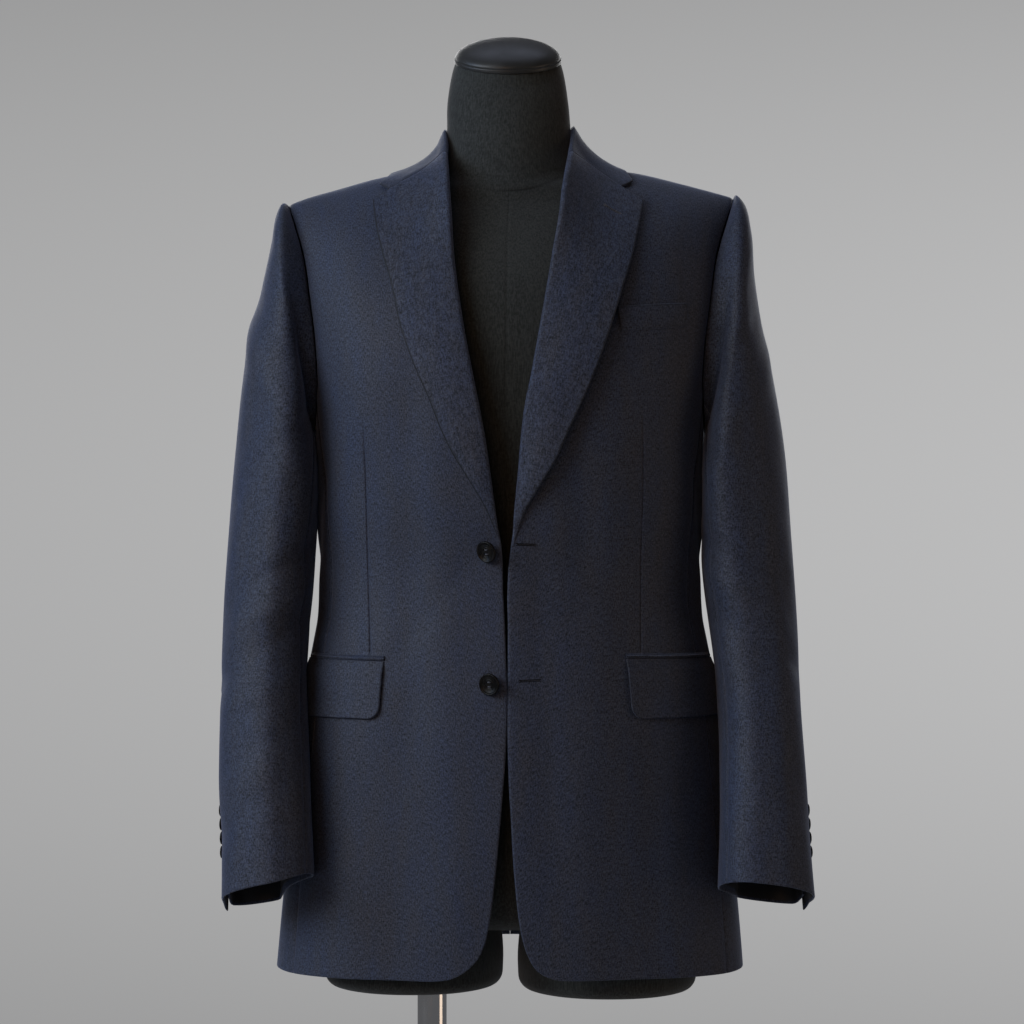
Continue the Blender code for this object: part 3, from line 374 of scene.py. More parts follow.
def body_normal(side, turn, rise):
    """The direction out of the cloth."""
    turn, rise = np.broadcast_arrays(np.asarray(turn, float), np.asarray(rise, float))
    low, high = np.clip(rise - 0.002, 0, RIDGE_RISE - 0.004), np.clip(rise + 0.002, 0, RIDGE_RISE)
    round_body = body_point(side, turn + 0.5, rise) - body_point(side, turn - 0.5, rise)
    up_body = body_point(side, turn, high) - body_point(side, turn, low)
    normal = np.cross(round_body, up_body) * side
    return normal / np.linalg.norm(normal, axis=-1, keepdims=True)


def surface(side, grid):
    """The points of the jacket's outside at pattern points, and the way out of it there."""
    turn, rise = grid[..., 0], grid[..., 1]
    return body_point(side, turn, rise), body_normal(side, turn, rise)


def rise_of(up, top, behind):
    """The rise that reaches a height where the shoulder line lies at top."""
    foot = np.where(behind, BACK_FOOT, FRONT_FOOT)
    bend = np.where(behind, BACK_BEND, FRONT_BEND)
    arch = np.arcsin(np.clip((up - foot) / (top - foot), 0, 1) ** (bend / 2))
    return np.where(up > foot, foot + (RIDGE_RISE - foot) * arch / (np.pi / 2), up)


def pattern(side, across, up, behind=False):
    """The turn and rise of the point seen at (across, up) from the front, or from behind."""
    across, up = np.asarray(across, float), np.asarray(up, float)
    top = ridge_height(across)
    up = np.minimum(up, top)
    share = np.clip(side * across / section("side", up), -1, 1)
    turn = np.degrees(np.arcsin(signed_power(share, section("square", up) / 2)))
    return np.stack([180 - turn if behind else turn, rise_of(up, top, behind)], -1)


def armhole(side):
    """Pattern points of the armhole seam, ARMHOLE_STEPS + 1 of them at equal steps."""
    index = np.arange(len(ARMHOLE["turn"]), dtype=float)
    at = np.linspace(0, index[-1], 800)
    turn = smooth(index, ARMHOLE["turn"], at)
    behind = turn > 90
    share = np.abs(np.sin(np.radians(turn)))
    up = smooth(index, ARMHOLE["up"], at) * MM
    across = side * share ** (2 / section("square", up)) * section("side", up)
    top = ridge_height(across)
    rise = rise_of(np.minimum(up, top), top, behind)
    points = body_point(side, turn, rise)
    length = lengths(points)
    steps = np.linspace(0, length[-1], ARMHOLE_STEPS + 1)
    return np.stack([np.interp(steps, length, turn), np.interp(steps, length, rise)], 1)


def patch(left, right, bottom, top):
    """A grid of points between four edges: rows run from bottom to top, columns left to right."""
    v = np.linspace(0, 1, len(left))[:, None, None]
    u = np.linspace(0, 1, len(bottom))[None, :, None]
    across = (1 - u) * left[:, None] + u * right[:, None]
    upward = (1 - v) * bottom[None] + v * top[None]
    corners = ((1 - v) * ((1 - u) * bottom[0] + u * bottom[-1])
               + v * ((1 - u) * top[0] + u * top[-1]))
    return across + upward - corners


def straight_line(start, end, count):
    """Points at equal steps from start to end."""
    share = np.linspace(0, 1, count)[:, None]
    return start * (1 - share) + end * share


def seam(rows, top):
    """Pattern points up an upright seam from the hem to the armhole point `top`."""
    points = np.array(list(zip(rows["turn"], rows["up"] * MM)) + [tuple(top)])
    heights = points[:, 1]
    rise = heights[0] + np.array(SEAM_SPREAD) * (heights[-1] - heights[0])
    return np.stack([smooth(heights, points[:, 0], rise), rise], 1)


def shoulder_seam(side, columns):
    """Pattern points of the shoulder seam from the neck to the armhole, on the front."""
    neck = abs(FRONT_EDGE[side]["across"][-1]) * MM
    end = np.abs(body_point(side, *armhole(side)[0])[0])
    across = side * np.linspace(neck, end, columns + 1)
    points = pattern(side, across, ridge_height(across))
    points[:, 1] = RIDGE_RISE - SHOULDER_SEAM
    return points


# ---------------------------------------------------------------- fine grids

FINE = 0.004
EDGE_STEPS = (0, 0.0004, 0.0009, 0.0015, 0.0025)
SEAM_DIP, SEAM_WIDTH = 0.0009, 0.0016  # how a piece turns in at a seam
EDGE_REACH, EDGE_CLOSE = 0.7, 0.38  # how a free edge is rounded, as shares of its thickness
SEAM, EDGE, PLAIN, GORGE_FINISH = "seam", "edge", "plain", "gorge"
GORGE_DIP = 0.00025


def stations(length, step=FINE):
    """Fractions of a length, closer together at its two ends."""
    ends = np.array(EDGE_STEPS)
    middle = length - 2 * ends[-1]
    inner = ends[-1] + np.linspace(0, middle, max(int(round(middle / step)), 1) + 1)
    return np.concatenate([ends[:-1], inner, length - ends[-2::-1]]) / length


def read(rows, at, knots=None):
    """Rows of a grid read smoothly at places between them, which are row numbers or knots."""
    knots = np.arange(len(rows), dtype=float) if knots is None else knots
    slopes = np.gradient(rows, knots, axis=0)
    at = np.clip(at, knots[0], knots[-1])
    i = np.clip(np.searchsorted(knots, at, side="right") - 1, 0, len(knots) - 2)
    across = (-1,) + (1,) * (rows.ndim - 1)
    step = (knots[i + 1] - knots[i]).reshape(across)
    t = (at - knots[i]).reshape(across) / step
    return ((1 + 2 * t) * (1 - t) ** 2 * rows[i] + t * (1 - t) ** 2 * step * slopes[i]
            + t * t * (3 - 2 * t) * rows[i + 1] + t * t * (t - 1) * step * slopes[i + 1])


def read_across(grid, at):
    """The same along each row of a grid, at its own column numbers in each row."""
    slopes = np.gradient(grid, axis=1)
    i = np.clip(np.floor(at).astype(int), 0, grid.shape[1] - 2)
    t = (at - i)[..., None]
    row = np.arange(len(grid))[:, None]
    return ((1 + 2 * t) * (1 - t) ** 2 * grid[row, i] + t * (1 - t) ** 2 * slopes[row, i]
            + t * t * (3 - 2 * t) * grid[row, i + 1] + t * t * (t - 1) * slopes[row, i + 1])


def spans(points):
    """The lengths along each row and up each column of a grid, from its first point."""
    def run(axis):
        steps = np.linalg.norm(np.diff(points, axis=axis), axis=2)
        return np.concatenate([np.zeros_like(steps.take([0], axis)), np.cumsum(steps, axis)], axis)
    return run(1), run(0)


def ramp(x, low, high):
    """0 below low, 1 above high and smooth between them."""
    t = np.clip((x - low) / (high - low), 0, 1)
    return t * t * (3 - 2 * t)


def grid_normals(grid):
    normal = np.cross(np.gradient(grid, axis=1), np.gradient(grid, axis=0))
    return normal / np.linalg.norm(normal, axis=-1, keepdims=True)


# ---------------------------------------------------------------- folds

FRONT, BACK, FLANK = 0, 1, 2
BOTH = 0

# Soft folds of the jacket's body, seen from the front, the back or the side: a line from one end
# to the other, its half width and how far it stands out, or lies in. On BOTH sides, places across
# are counted outward.
FOLDS = table("side view from from_up to to_up wide deep", [
    # the chest and the skirt of the wearer's right front
    (RIGHT, FRONT, -92, 1215, -88, 1010, 15, -1.5),
    (RIGHT, FRONT, -62, 1110, -52, 820, 20, 1.6),
    (RIGHT, FRONT, -100, 1000, -104, 760, 17, -1.3),
    (RIGHT, FRONT, -150, 965, -148, 750, 15, 1.4),
    (RIGHT, FRONT, -30, 1120, -95, 1040, 12, -1.0),
    (RIGHT, FRONT, -24, 1135, -80, 1180, 13, 1.0),
    (RIGHT, FRONT, -150, 1400, -140, 1260, 17, 1.3),
    # and of the left front
    (LEFT, FRONT, 54, 1240, 66, 1150, 16, -1.8),
    (LEFT, FRONT, 92, 1180, 84, 1010, 19, 1.5),
    (LEFT, FRONT, 26, 1100, 34, 900, 16, -1.5),
    (LEFT, FRONT, 66, 960, 72, 760, 22, 1.5),
    (LEFT, FRONT, 128, 960, 134, 750, 14, -1.2),
    (LEFT, FRONT, 12, 1128, 70, 1085, 10, 0.9),
    (LEFT, FRONT, 150, 1420, 144, 1270, 16, 1.2),
    # under the arms
    (BOTH, FLANK, -52, 1190, -8, 1110, 12, -1.8),
    (BOTH, FLANK, 20, 1205, -22, 1090, 11, 1.6),
    (BOTH, FLANK, 52, 1180, 22, 1060, 13, -1.6),
    (BOTH, FLANK, 2, 960, 8, 760, 18, -1.3),
    # the back: the blades, the waist and the skirt
    (RIGHT, BACK, -128, 1380, -118, 1230, 15, -1.8),
    (RIGHT, BACK, -86, 1350, -104, 1190, 17, 1.6),
    (LEFT, BACK, 130, 1365, 116, 1220, 16, -1.6),
    (LEFT, BACK, 92, 1340, 100, 1180, 15, 1.5),
    (RIGHT, BACK, -40, 1130, -116, 1078, 12, -1.4),
    (LEFT, BACK, 34, 1112, 120, 1090, 11, -1.3),
    (RIGHT, BACK, -50, 1090, -112, 1040, 13, 1.1),
    (LEFT, BACK, 44, 1076, 110, 1052, 12, 1.0),
    (RIGHT, BACK, -62, 1010, -70, 780, 20, 1.6),
    (LEFT, BACK, 70, 1000, 62, 790, 21, 1.5),
    (RIGHT, BACK, -118, 990, -128, 770, 15, -1.4),
    (LEFT, BACK, 122, 980, 130, 760, 16, -1.3),
    (BOTH, BACK, 26, 1462, 70, 1446, 9, -1.0),
])

# Darts in the fronts, by height from the bottom up.
DARTS = {
    RIGHT: table("up across", [(1030, -128.5), (1044, -129), (1116, -131.5), (1190, -133),
                               (1257, -134)]),
    LEFT: table("up across", [(1030, 120.5), (1044, 120.6), (1116, 120.2), (1189, 122.4),
                              (1262, 121.5)]),
}
DART_STEPS = (-0.0026, -0.0014, -0.0007, -0.0003, 0, 0.0003, 0.0007, 0.0014, 0.0026)
DART_WIDTH, DART_DEPTH, DART_HOLLOW_WIDTH, DART_HOLLOW = 0.0006, 0.0011, 0.010, 0.0007

# Folds of the sleeves by the angle round the arm, from its outer side over its front, and height.
SLEEVE_FOLDS = table("side from from_up to to_up wide deep", [
    (RIGHT, 40, 1345, 120, 1300, 13, -2.2),
    (RIGHT, 20, 1322, 84, 1270, 12, 1.7),
    (RIGHT, 118, 1240, 60, 1190, 12, -1.5),
    (RIGHT, 135, 1120, 60, 1085, 11, -2.3),
    (RIGHT, 140, 1085, 72, 1058, 10, 1.9),
    (RIGHT, 132, 1052, 40, 1010, 12, -2.2),
    (RIGHT, 128, 1008, 62, 985, 10, 1.5),
    (RIGHT, 120, 960, 52, 930, 11, -1.3),
    (RIGHT, 92, 900, 30, 870, 12, -1.2),
    (RIGHT, 98, 1330, 94, 810, 17, 3.0),
    (RIGHT, 300, 1120, 262, 1080, 13, -1.9),
    (RIGHT, 308, 1068, 256, 1040, 12, 1.7),
    (RIGHT, 322, 1010, 262, 990, 12, -1.8),
    (RIGHT, 284, 1330, 268, 1180, 15, -1.7),
    (RIGHT, 318, 1290, 306, 1130, 14, 1.4),
    (LEFT, 52, 1330, 118, 1285, 12, -1.8),
    (LEFT, 28, 1300, 90, 1248, 13, 1.6),
    (LEFT, 124, 1210, 66, 1176, 12, -1.4),
    (LEFT, 138, 1130, 66, 1104, 10, -2.0),
    (LEFT, 142, 1098, 76, 1066, 11, 1.7),
    (LEFT, 136, 1060, 52, 1026, 11, -2.0),
    (LEFT, 130, 1020, 70, 990, 12, 1.4),
    (LEFT, 118, 950, 60, 925, 12, -1.2),
    (LEFT, 96, 890, 48, 868, 11, 1.0),
    (LEFT, 66, 1240, 72, 860, 16, 1.4),
    (LEFT, 304, 1130, 258, 1096, 12, -1.8),
    (LEFT, 312, 1084, 262, 1052, 12, 1.5),
    (LEFT, 318, 1030, 266, 1004, 13, -1.7),
    (LEFT, 280, 1320, 272, 1190, 14, -1.6),
    (LEFT, 322, 1270, 310, 1120, 15, 1.3),
])
ARM_RADIUS = 0.064


def fold(flat, start, end, wide, deep):
    """How far a soft fold moves points of a flat plane, fading out at its ends."""
    line = end - start
    length = np.linalg.norm(line)
    away = flat - start
    along_it = (away @ line) / length ** 2
    aside = (away[..., 0] * line[1] - away[..., 1] * line[0]) / length
    over = np.maximum(np.abs(along_it - 0.5) - 0.5, -0.5) + 0.5
    return deep * np.exp(-(aside / wide) ** 2) * (1 - ramp(over, 0.62, 1.12))


def drape(side, points):
    """How far the cloth of the body stands out from its smooth form: slow ripples and FOLDS."""
    x, y, z = points[..., 0], points[..., 1], points[..., 2]
    out = (0.0004 * np.sin(41 * x + 7 * z + side) * np.sin(19 * z - 11 * x)
           + 0.0003 * np.sin(67 * x - 29 * z) * np.sin(13 * z + 31 * y + 2 * side))
    for row in zip(*FOLDS.values()):
        of_side, view = row[:2]
        start, end = np.array(row[2:4]) * MM, np.array(row[4:6]) * MM
        wide, deep = row[6] * MM, row[7] * MM
        if of_side not in (BOTH, side):
            continue
        if view == FLANK:
            shown, across = np.abs(x) > 0.14, y
        else:
            shown, across = (y > 0) == (view == BACK), x * side if of_side == BOTH else x
        out = out + np.where(shown, fold(np.stack([across, z], -1), start, end, wide, deep), 0)
    return out * ramp(RIDGE_TOP - z, 0.0, 0.05)


RIDGE_TOP = 1.47
KEEL, KEEL_WIDTH = 0.0088, 0.072  # how the open front edges stand out from the form
KEEL_TOP = {RIGHT: (1.14, 1.36), LEFT: (1.12, 1.26)}  # between these heights it fades out


def keel(side, points):
    x, y, z = points[..., 0], points[..., 1], points[..., 2]
    return KEEL * np.exp(-(x / KEEL_WIDTH) ** 2) * (1 - ramp(z, *KEEL_TOP[side])) * (y < 0)


def dart_place(side, height):
    return smooth(DARTS[side]["up"] * MM, DARTS[side]["across"] * MM, height)


def dart(side, points):
    x, y, z = points[..., 0], points[..., 1], points[..., 2]
    off = np.abs(x - dart_place(side, z))
    low, high = DARTS[side]["up"][[0, -1]] * MM
    here = ramp(z, low - 0.002, low + 0.002) * (1 - ramp(z, high - 0.05, high)) * (y < 0)
    return -here * (DART_DEPTH * np.exp(-(off / DART_WIDTH) ** 2)
                    + DART_HOLLOW * np.exp(-(off / DART_HOLLOW_WIDTH) ** 2))


# ---------------------------------------------------------------- meshes

SHARP = 40  # degrees past which an edge of a hard piece is sharp

EDGE_SHADOW_WIDTH = (0.0009, 0.0022)  # how wide the painted shadow along a pressed edge is
TURN_UP = 0.014  # how far the cloth turns in at a hem before the lining starts


def placed(name, data):
    """A new object of the scene that shows some data."""
    thing = bpy.data.objects.new(name, data)
    bpy.context.scene.collection.objects.link(thing)
    return thing


def new_piece(name, mesh, *finishes):
    for finish in finishes:
        mesh.materials.append(finish_named(finish))
    piece = placed(name, mesh)
    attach(piece, "root")
    return piece


def mesh_from(name, points, faces, finish_of=None, sharp=None):
    """A smooth mesh, with the number of each face's finish, and sharp edges past an angle."""
    mesh = bpy.data.meshes.new(name)
    mesh.from_pydata(np.asarray(points).tolist(), [], faces)
    if finish_of is not None:
        mesh.polygons.foreach_set("material_index", np.asarray(finish_of, np.int32))
    mesh.shade_smooth()
    if sharp:
        mesh.set_sharp_from_angle(angle=math.radians(sharp))
    return mesh


def hold(mesh, name, values, kind="FLOAT", field="value"):
    """Keeps a value of each point on the mesh, where its material reads it."""
    held = mesh.attributes.new(name, kind, "POINT")
    held.data.foreach_set(field, np.ascontiguousarray(values, np.float32).ravel())


def edge_shift(distance, kind, thickness):
    """How far the outer and the inner skin move outward near an edge.

    A kind may be a pair of kinds with how much of the second one each point of the edge has.
    """
    if isinstance(kind, tuple):
        first, second, share = kind
        pair = zip(edge_shift(distance, first, thickness), edge_shift(distance, second, thickness))
        return [a + (b - a) * share for a, b in pair]
    if kind == GORGE_FINISH:
        dip = -GORGE_DIP * np.exp(-(distance / SEAM_WIDTH) ** 2)
        return dip, dip
    if kind == SEAM:
        dip = -SEAM_DIP * np.exp(-(distance / SEAM_WIDTH) ** 2)
        return dip, dip
    if kind == EDGE:
        t = np.clip(1 - distance / (EDGE_REACH * thickness), 0, 1)
        bow = thickness * EDGE_CLOSE * (1 - np.sqrt(1 - t * t))
        return -bow, bow
    return 0, 0


def shell(name, outside, normals, out, thickness, kinds, grain, lined=True, turn_up=TURN_UP,
          edge_shadow=0.0):
    """A closed piece of cloth on a grid of points, moved out along its normals by out.

    kinds says how its left, right, bottom and top edges are finished. The inner skin is lining
    but for a turn-up along its free edges.
    """
    across, upward = spans(outside)
    distances = (across, across[:, -1:] - across, upward, upward[-1:] - upward)
    outer, inner = out, out - thickness
    from_edge = np.full(across.shape, np.inf)
    # painted shadow: how much the outside's colour is darkened towards its free edges, standing in
    # for shade under a pressed edge
    seam_dark_and_edge_shadow = np.zeros(across.shape)
    for distance, kind in zip(distances, kinds):
        outer_shift, inner_shift = edge_shift(distance, kind, thickness)
        outer, inner = outer + outer_shift, inner + inner_shift
        free = kind[2] if isinstance(kind, tuple) else float(kind == EDGE)
        seam_dark_and_edge_shadow = np.maximum(seam_dark_and_edge_shadow, edge_shadow * free * (1 - ramp(distance, *EDGE_SHADOW_WIDTH)))
        if kind == EDGE:
            from_edge = np.minimum(from_edge, distance)
    skins = [outside + normals * shift[..., None] for shift in (outer, inner)]
    rows, columns = across.shape
    count = rows * columns
    index = np.arange(count).reshape(rows, columns)
    quads = np.stack([index[:-1, :-1], index[:-1, 1:], index[1:, 1:], index[1:, :-1]], -1)
    quads = quads.reshape(-1, 4)
    rim = np.concatenate([index[0, :-1], index[:-1, -1], index[-1, :0:-1], index[:0:-1, 0]])
    after = np.roll(rim, -1)
    faces = np.concatenate([quads, quads[:, ::-1] + count,
                            np.stack([after, rim, rim + count, after + count], 1)])
    facing = np.sum(grid_normals(outside) * normals) > 0
    if not facing:
        faces = faces[:, ::-1]
    lining = (from_edge > turn_up)[:-1, :-1].ravel() & lined
    finish_of = np.concatenate([np.zeros(len(quads)), lining, np.zeros(len(rim))])
    mesh = mesh_from(name, np.concatenate([skin.reshape(-1, 3) for skin in skins]),
                     faces.tolist(), finish_of)
    hold(mesh, "grain", [grain] * 2, "FLOAT_VECTOR", "vector")
    if edge_shadow:
        hold(mesh, "seam_dark_and_edge_shadow", [seam_dark_and_edge_shadow] * 2)
    return new_piece(name, mesh, "suiting", "lining")


def cut_cloth(piece, node, cut, share):
    """Hides the node in whose place a piece of suiting stands. The piece and the size it was cut to
    are not used.
    """
    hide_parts(node)


# ---------------------------------------------------------------- the body of the jacket

# The size each piece is cut to, in metres, and how much of that rectangle it fills.
CUTS = {
    "front": ((0.27, 0.82), 0.72), "side": ((0.17, 0.53), 0.88), "back": ((0.26, 0.79), 0.80),
    "lapel": ((0.10, 0.41), 0.62), "collar": ((0.46, 0.105), 0.85),
    "topsleeve": ((0.30, 0.68), 0.80), "undersleeve": ((0.17, 0.58), 0.86),
    "flap": ((0.115, 0.056), 0.92), "jet": ((0.11, 0.010), 0.60), "welt": ((0.068, 0.027), 0.90),
}
PIECE_NUMBERS = {}


def grain_of(name, across, upward, start=0.0):
    """Where each point lies on the woven cloth, with a depth of its own for each piece."""
    number = PIECE_NUMBERS.setdefault(name, len(PIECE_NUMBERS))
    return np.stack([start + across, upward, np.full(across.shape, 0.31 * number)], -1)


def body_piece(kind, side, grid, kinds, shape=drape, follow=None):
    """One panel of the jacket's body, from its coarse pattern grid.

    follow gives the place across that a middle column keeps to at each height, such as a dart's,
    with finer columns beside it.
    """
    coarse = body_point(side, grid[..., 0], grid[..., 1])
    across, upward = spans(coarse)
    v = stations(upward[-1].mean())
    u = stations(across[:, -1].mean())
    last = grid.shape[1] - 1
    rows = read(grid, v * (len(grid) - 1))
    columns = np.broadcast_to(u * last, (len(rows), len(u)))
    if follow:
        line = body_point(side, rows[..., 0], rows[..., 1])
        place = follow(side, line[:, last // 2, 2])
        at = np.array([np.interp(side * place[i], side * line[i, :, 0], np.arange(last + 1.0))
                       for i in range(len(rows))])
        middle = at.mean()
        extra = middle + np.array(DART_STEPS) / across[:, -1].mean() * last
        kept = u * last
        kept = kept[np.abs(kept - middle) > 1.3 * (extra[-1] - middle)]
        columns = np.sort(np.concatenate([kept, extra]))
        columns = np.stack([np.where(columns < middle, columns * place_at / middle,
                                     last - (last - columns) * (last - place_at) / (last - middle))
                            for place_at in at])
    points, normals = surface(side, np.minimum(read_across(rows, columns), (np.inf, RIDGE_RISE)))
    across, upward = spans(points)
    start = side * points[:, :1, 0] if kind == "front" else -across[:, -1:]
    name = f"{kind}_{SIDE_NAMES[side]}"
    grain = grain_of(name, across, upward + points[:1, :, 2], start)
    piece = shell(f"jacket_{name}", points, normals, shape(side, points), CLOTH, kinds, grain)
    cut_cloth(piece, name, *CUTS[kind])
    return piece


ROLL_RADIUS = 0.0034
BREAK = {RIGHT: 1.138, LEFT: 1.132}


def front_shape(side, points):
    return drape(side, points) + dart(side, points) + keel(side, points)


def front(side):
    hole = armhole(side)
    lower = seam(FRONT_SEAM, hole[FRONT_SEAM_STEP])
    right = np.concatenate([lower, hole[FRONT_SEAM_STEP - 1::-1]])
    right[:, 0] -= SEAM_TURN
    right[-1, 1] = RIDGE_RISE - SHOULDER_SEAM
    upper = np.linspace(LOWER_SHARE, 1, FRONT_SEAM_STEP + 1)
    fractions = np.concatenate([np.array(SEAM_SPREAD) * LOWER_SHARE, upper[1:]])
    edge_points = along(seen(FRONT_EDGE[side]), fractions) * MM
    heights = edge_points[:, 1]
    under_roll = ramp(heights, BREAK[side], BREAK[side] + 0.05) * (1 - ramp(heights, 1.45, 1.48))
    left = pattern(side, edge_points[:, 0] + side * (ROLL_RADIUS + GAP) * under_roll, heights)
    top = shoulder_seam(side, FRONT_COLUMNS)
    left[-1] = top[0]
    bottom = straight_line(left[0], right[0], len(top))
    return body_piece("front", side, patch(left, right, bottom, top), (EDGE, SEAM, EDGE, SEAM),
                      front_shape, dart_place)


def side_body(side):
    hole = armhole(side)
    left = seam(FRONT_SEAM, hole[FRONT_SEAM_STEP])
    right = seam(BACK_SEAM, hole[BACK_SEAM_STEP])
    top = hole[FRONT_SEAM_STEP:BACK_SEAM_STEP + 1].copy()
    left[:, 0] += SEAM_TURN
    right[:, 0] -= SEAM_TURN
    top[0], top[-1] = left[-1], right[-1]
    bottom = straight_line(left[0], right[0], len(top))
    body_piece("side", side, patch(left, right, bottom, top), (SEAM, SEAM, EDGE, SEAM))


def back(side):
    hole = armhole(side)
    lower = seam(BACK_SEAM, hole[BACK_SEAM_STEP])
    left = np.concatenate([lower, hole[BACK_SEAM_STEP + 1:]])
    left[:, 0] += SEAM_TURN
    left[-1, 1] = RIDGE_RISE - SHOULDER_SEAM
    rows = len(left)
    centre_top = pattern(side, 0, BACK_NECK["up"][0] * MM, behind=True)
    middle_rise = np.interp(np.arange(rows), [0, len(lower) - 1, rows - 1],
                            [BACK_HEM * MM, UNDERARM, centre_top[1]])
    right = np.stack([np.full(rows, 180 - CENTRE_SEAM_TURN), middle_rise], 1)
    shoulder = shoulder_seam(side, BACK_SHOULDER_COLUMNS)
    shoulder[:, 0] = 180 - shoulder[:, 0]
    neck = pattern(side, side * BACK_NECK["across"] * MM, BACK_NECK["up"] * MM, behind=True)
    top = np.concatenate([shoulder[::-1], neck[::-1]])
    top[-1] = right[-1]
    bottom = straight_line(left[0], right[0], len(top))
    body_piece("back", side, patch(left, right, bottom, top), (SEAM, SEAM, EDGE, SEAM))


# ---------------------------------------------------------------- lapels and collar

LAPEL_FINE = 0.003
LAPEL_CLOTH = 0.0020
GORGE_SHARES = (0, 0.25, 0.5, 0.75, 1)
GORGE_JOIN = 0.15  # half the gap along the gorge, where the seam draws both edges in
NOTCH_COLUMNS = (3.9, 4.1)  # of its coarse columns, where its seam ends and its own edge starts
LAPEL_FOOT_RADIUS, LAPEL_FOOT_LIFT = 0.0011, 0.0006
LAPEL_BELLY = 0.0012
LAPEL_OPEN = 0.022  # the width at which it lies open, away from its foot
# Shares of its height where it starts to stand off, where it rests again and where it is smooth.
LAPEL_SPRINGS, LAPEL_RESTS, LAPEL_SMOOTH = (0.03, 0.25), (0.62, 1.0), (0.85, 1.0)
# How far the top of the roll line stands off the body, and over which share of its length.
ROLL_TOP = {RIGHT: (0.0031, -0.0194, 0.0007), LEFT: (-0.0013, -0.0195, -0.0035)}
ROLL_TOP_FROM = (0.68, 1.0)
ROLL_TOP_CURVE = 1.4  # how fast that fades out from the roll line to the notch
GORGE_GAP = 0.0003
# how dark the painted shadow along each lapel's free edges is, which also darkens the notch
LAPEL_EDGE_SHADOW = {RIGHT: 0.97, LEFT: 0.6}
COLLAR_END_LOOP = (0, 2, 4, 6)  # which points round the roll line the stand and the fold end in
LAPEL_TILT = {RIGHT: 0.0004, LEFT: 0.0075}  # how much more its outer edge stands off
ROLL_STEPS = 9


def rolled(points, normals, lift, radius):
    """Rows of a lapel's outside, from the front's inner face round the roll line and over it."""
    away = points[:, :1] - points[:, 1:2]
    away -= normals[:, :1] * np.sum(away * normals[:, :1], -1, keepdims=True)
    away /= np.linalg.norm(away, axis=-1, keepdims=True)
    centre = points[:, :1] + normals[:, :1] * (lift[:, :1] - radius)[..., None]
    angle = np.linspace(np.pi, 0, ROLL_STEPS)[:-1]
    loop_normals = normals[:, :1] * np.cos(angle)[:, None] + away * np.sin(angle)[:, None]
    loop = centre + loop_normals * radius[..., None]
    return (np.concatenate([loop, points + normals * lift[..., None]], 1),
            np.concatenate([loop_normals, normals], 1))


def lapel(side):
    share = np.linspace(0, 1, LAPEL_ROWS + 1)
    left, right = along(seen(LAPEL_ROLL[side]), share), along(seen(LAPEL_EDGE[side]), share)
    gorge = along(seen(GORGE[side]) - [0, GORGE_JOIN], GORGE_SHARES)
    top = np.concatenate([gorge, seen(LAPEL_TOP[side])])
    left[-1], right[-1] = top[0], top[-1]
    bottom = np.linspace(left[0], right[0], len(top))
    grid = patch(left, right, bottom, top) * MM
    across, upward = spans(grid)
    v, u = stations(upward[:, 0].max(), LAPEL_FINE), stations(across[:, -1].mean(), LAPEL_FINE)
    fine = read(read(grid, v * LAPEL_ROWS).swapaxes(0, 1), u * LAPEL_COLUMNS).swapaxes(0, 1)
    width = np.abs(fine[:, -1, 0] - fine[:, 0, 0])
    opening = ramp(width, 0.0, LAPEL_OPEN)[:, None]
    radius = LAPEL_FOOT_RADIUS + (ROLL_RADIUS - LAPEL_FOOT_RADIUS) * opening
    fine[..., 0] += side * radius * (1 - u)
    points, normals = surface(side, pattern(side, fine[..., 0], fine[..., 1]))
    high = v[:, None]
    stands_off = np.maximum(1 - u * LAPEL_COLUMNS / 4, 0) ** ROLL_TOP_CURVE
    stands_off = stands_off * ramp(high, *ROLL_TOP_FROM)
    points = points + np.array(ROLL_TOP[side])[None, None] * stands_off[..., None]
    turned = grid_normals(points)
    normals = turned * np.sign(np.sum(turned * normals, -1, keepdims=True))
    springs = ramp(high, *LAPEL_SPRINGS) * (1 - ramp(high, *LAPEL_RESTS))
    below_gorge = 1 - ramp(high, *LAPEL_SMOOTH)
    lift = (keel(side, points) + LAPEL_FOOT_LIFT + (LAPEL_LIFT - LAPEL_FOOT_LIFT) * opening
            + LAPEL_TILT[side] * u * springs
            + (LAPEL_BELLY * np.sin(np.pi * u) * opening + drape(side, points) * 0.5) * below_gorge)
    outside, all_normals = rolled(points, normals, lift, radius)
    across, upward = spans(outside)
    at_notch = np.concatenate([np.zeros(ROLL_STEPS - 1), ramp(u * LAPEL_COLUMNS, *NOTCH_COLUMNS)])
    name = f"lapel_{SIDE_NAMES[side]}"
    piece = shell(f"jacket_{name}", outside, all_normals, np.zeros(across.shape), LAPEL_CLOTH,
                  (PLAIN, EDGE, PLAIN, (GORGE_FINISH, EDGE, at_notch)),
                  grain_of(name, across, upward), lined=False, edge_shadow=LAPEL_EDGE_SHADOW[side])
    cut_cloth(piece, name, *CUTS["lapel"])
    column = u * LAPEL_COLUMNS
    upward = outside[-1] - outside[-2]
    row = outside[-1] + upward / np.linalg.norm(upward, axis=-1, keepdims=True) * GORGE_GAP
    ends = []
    for line in (row, all_normals[-1]):
        seam_line = np.stack([np.interp(range(len(GORGE_SHARES)), column, over)
                              for over in line[ROLL_STEPS - 1:].T], 1)
        ends.append(np.concatenate([line[list(COLLAR_END_LOOP)], seam_line]))
    return piece, *ends


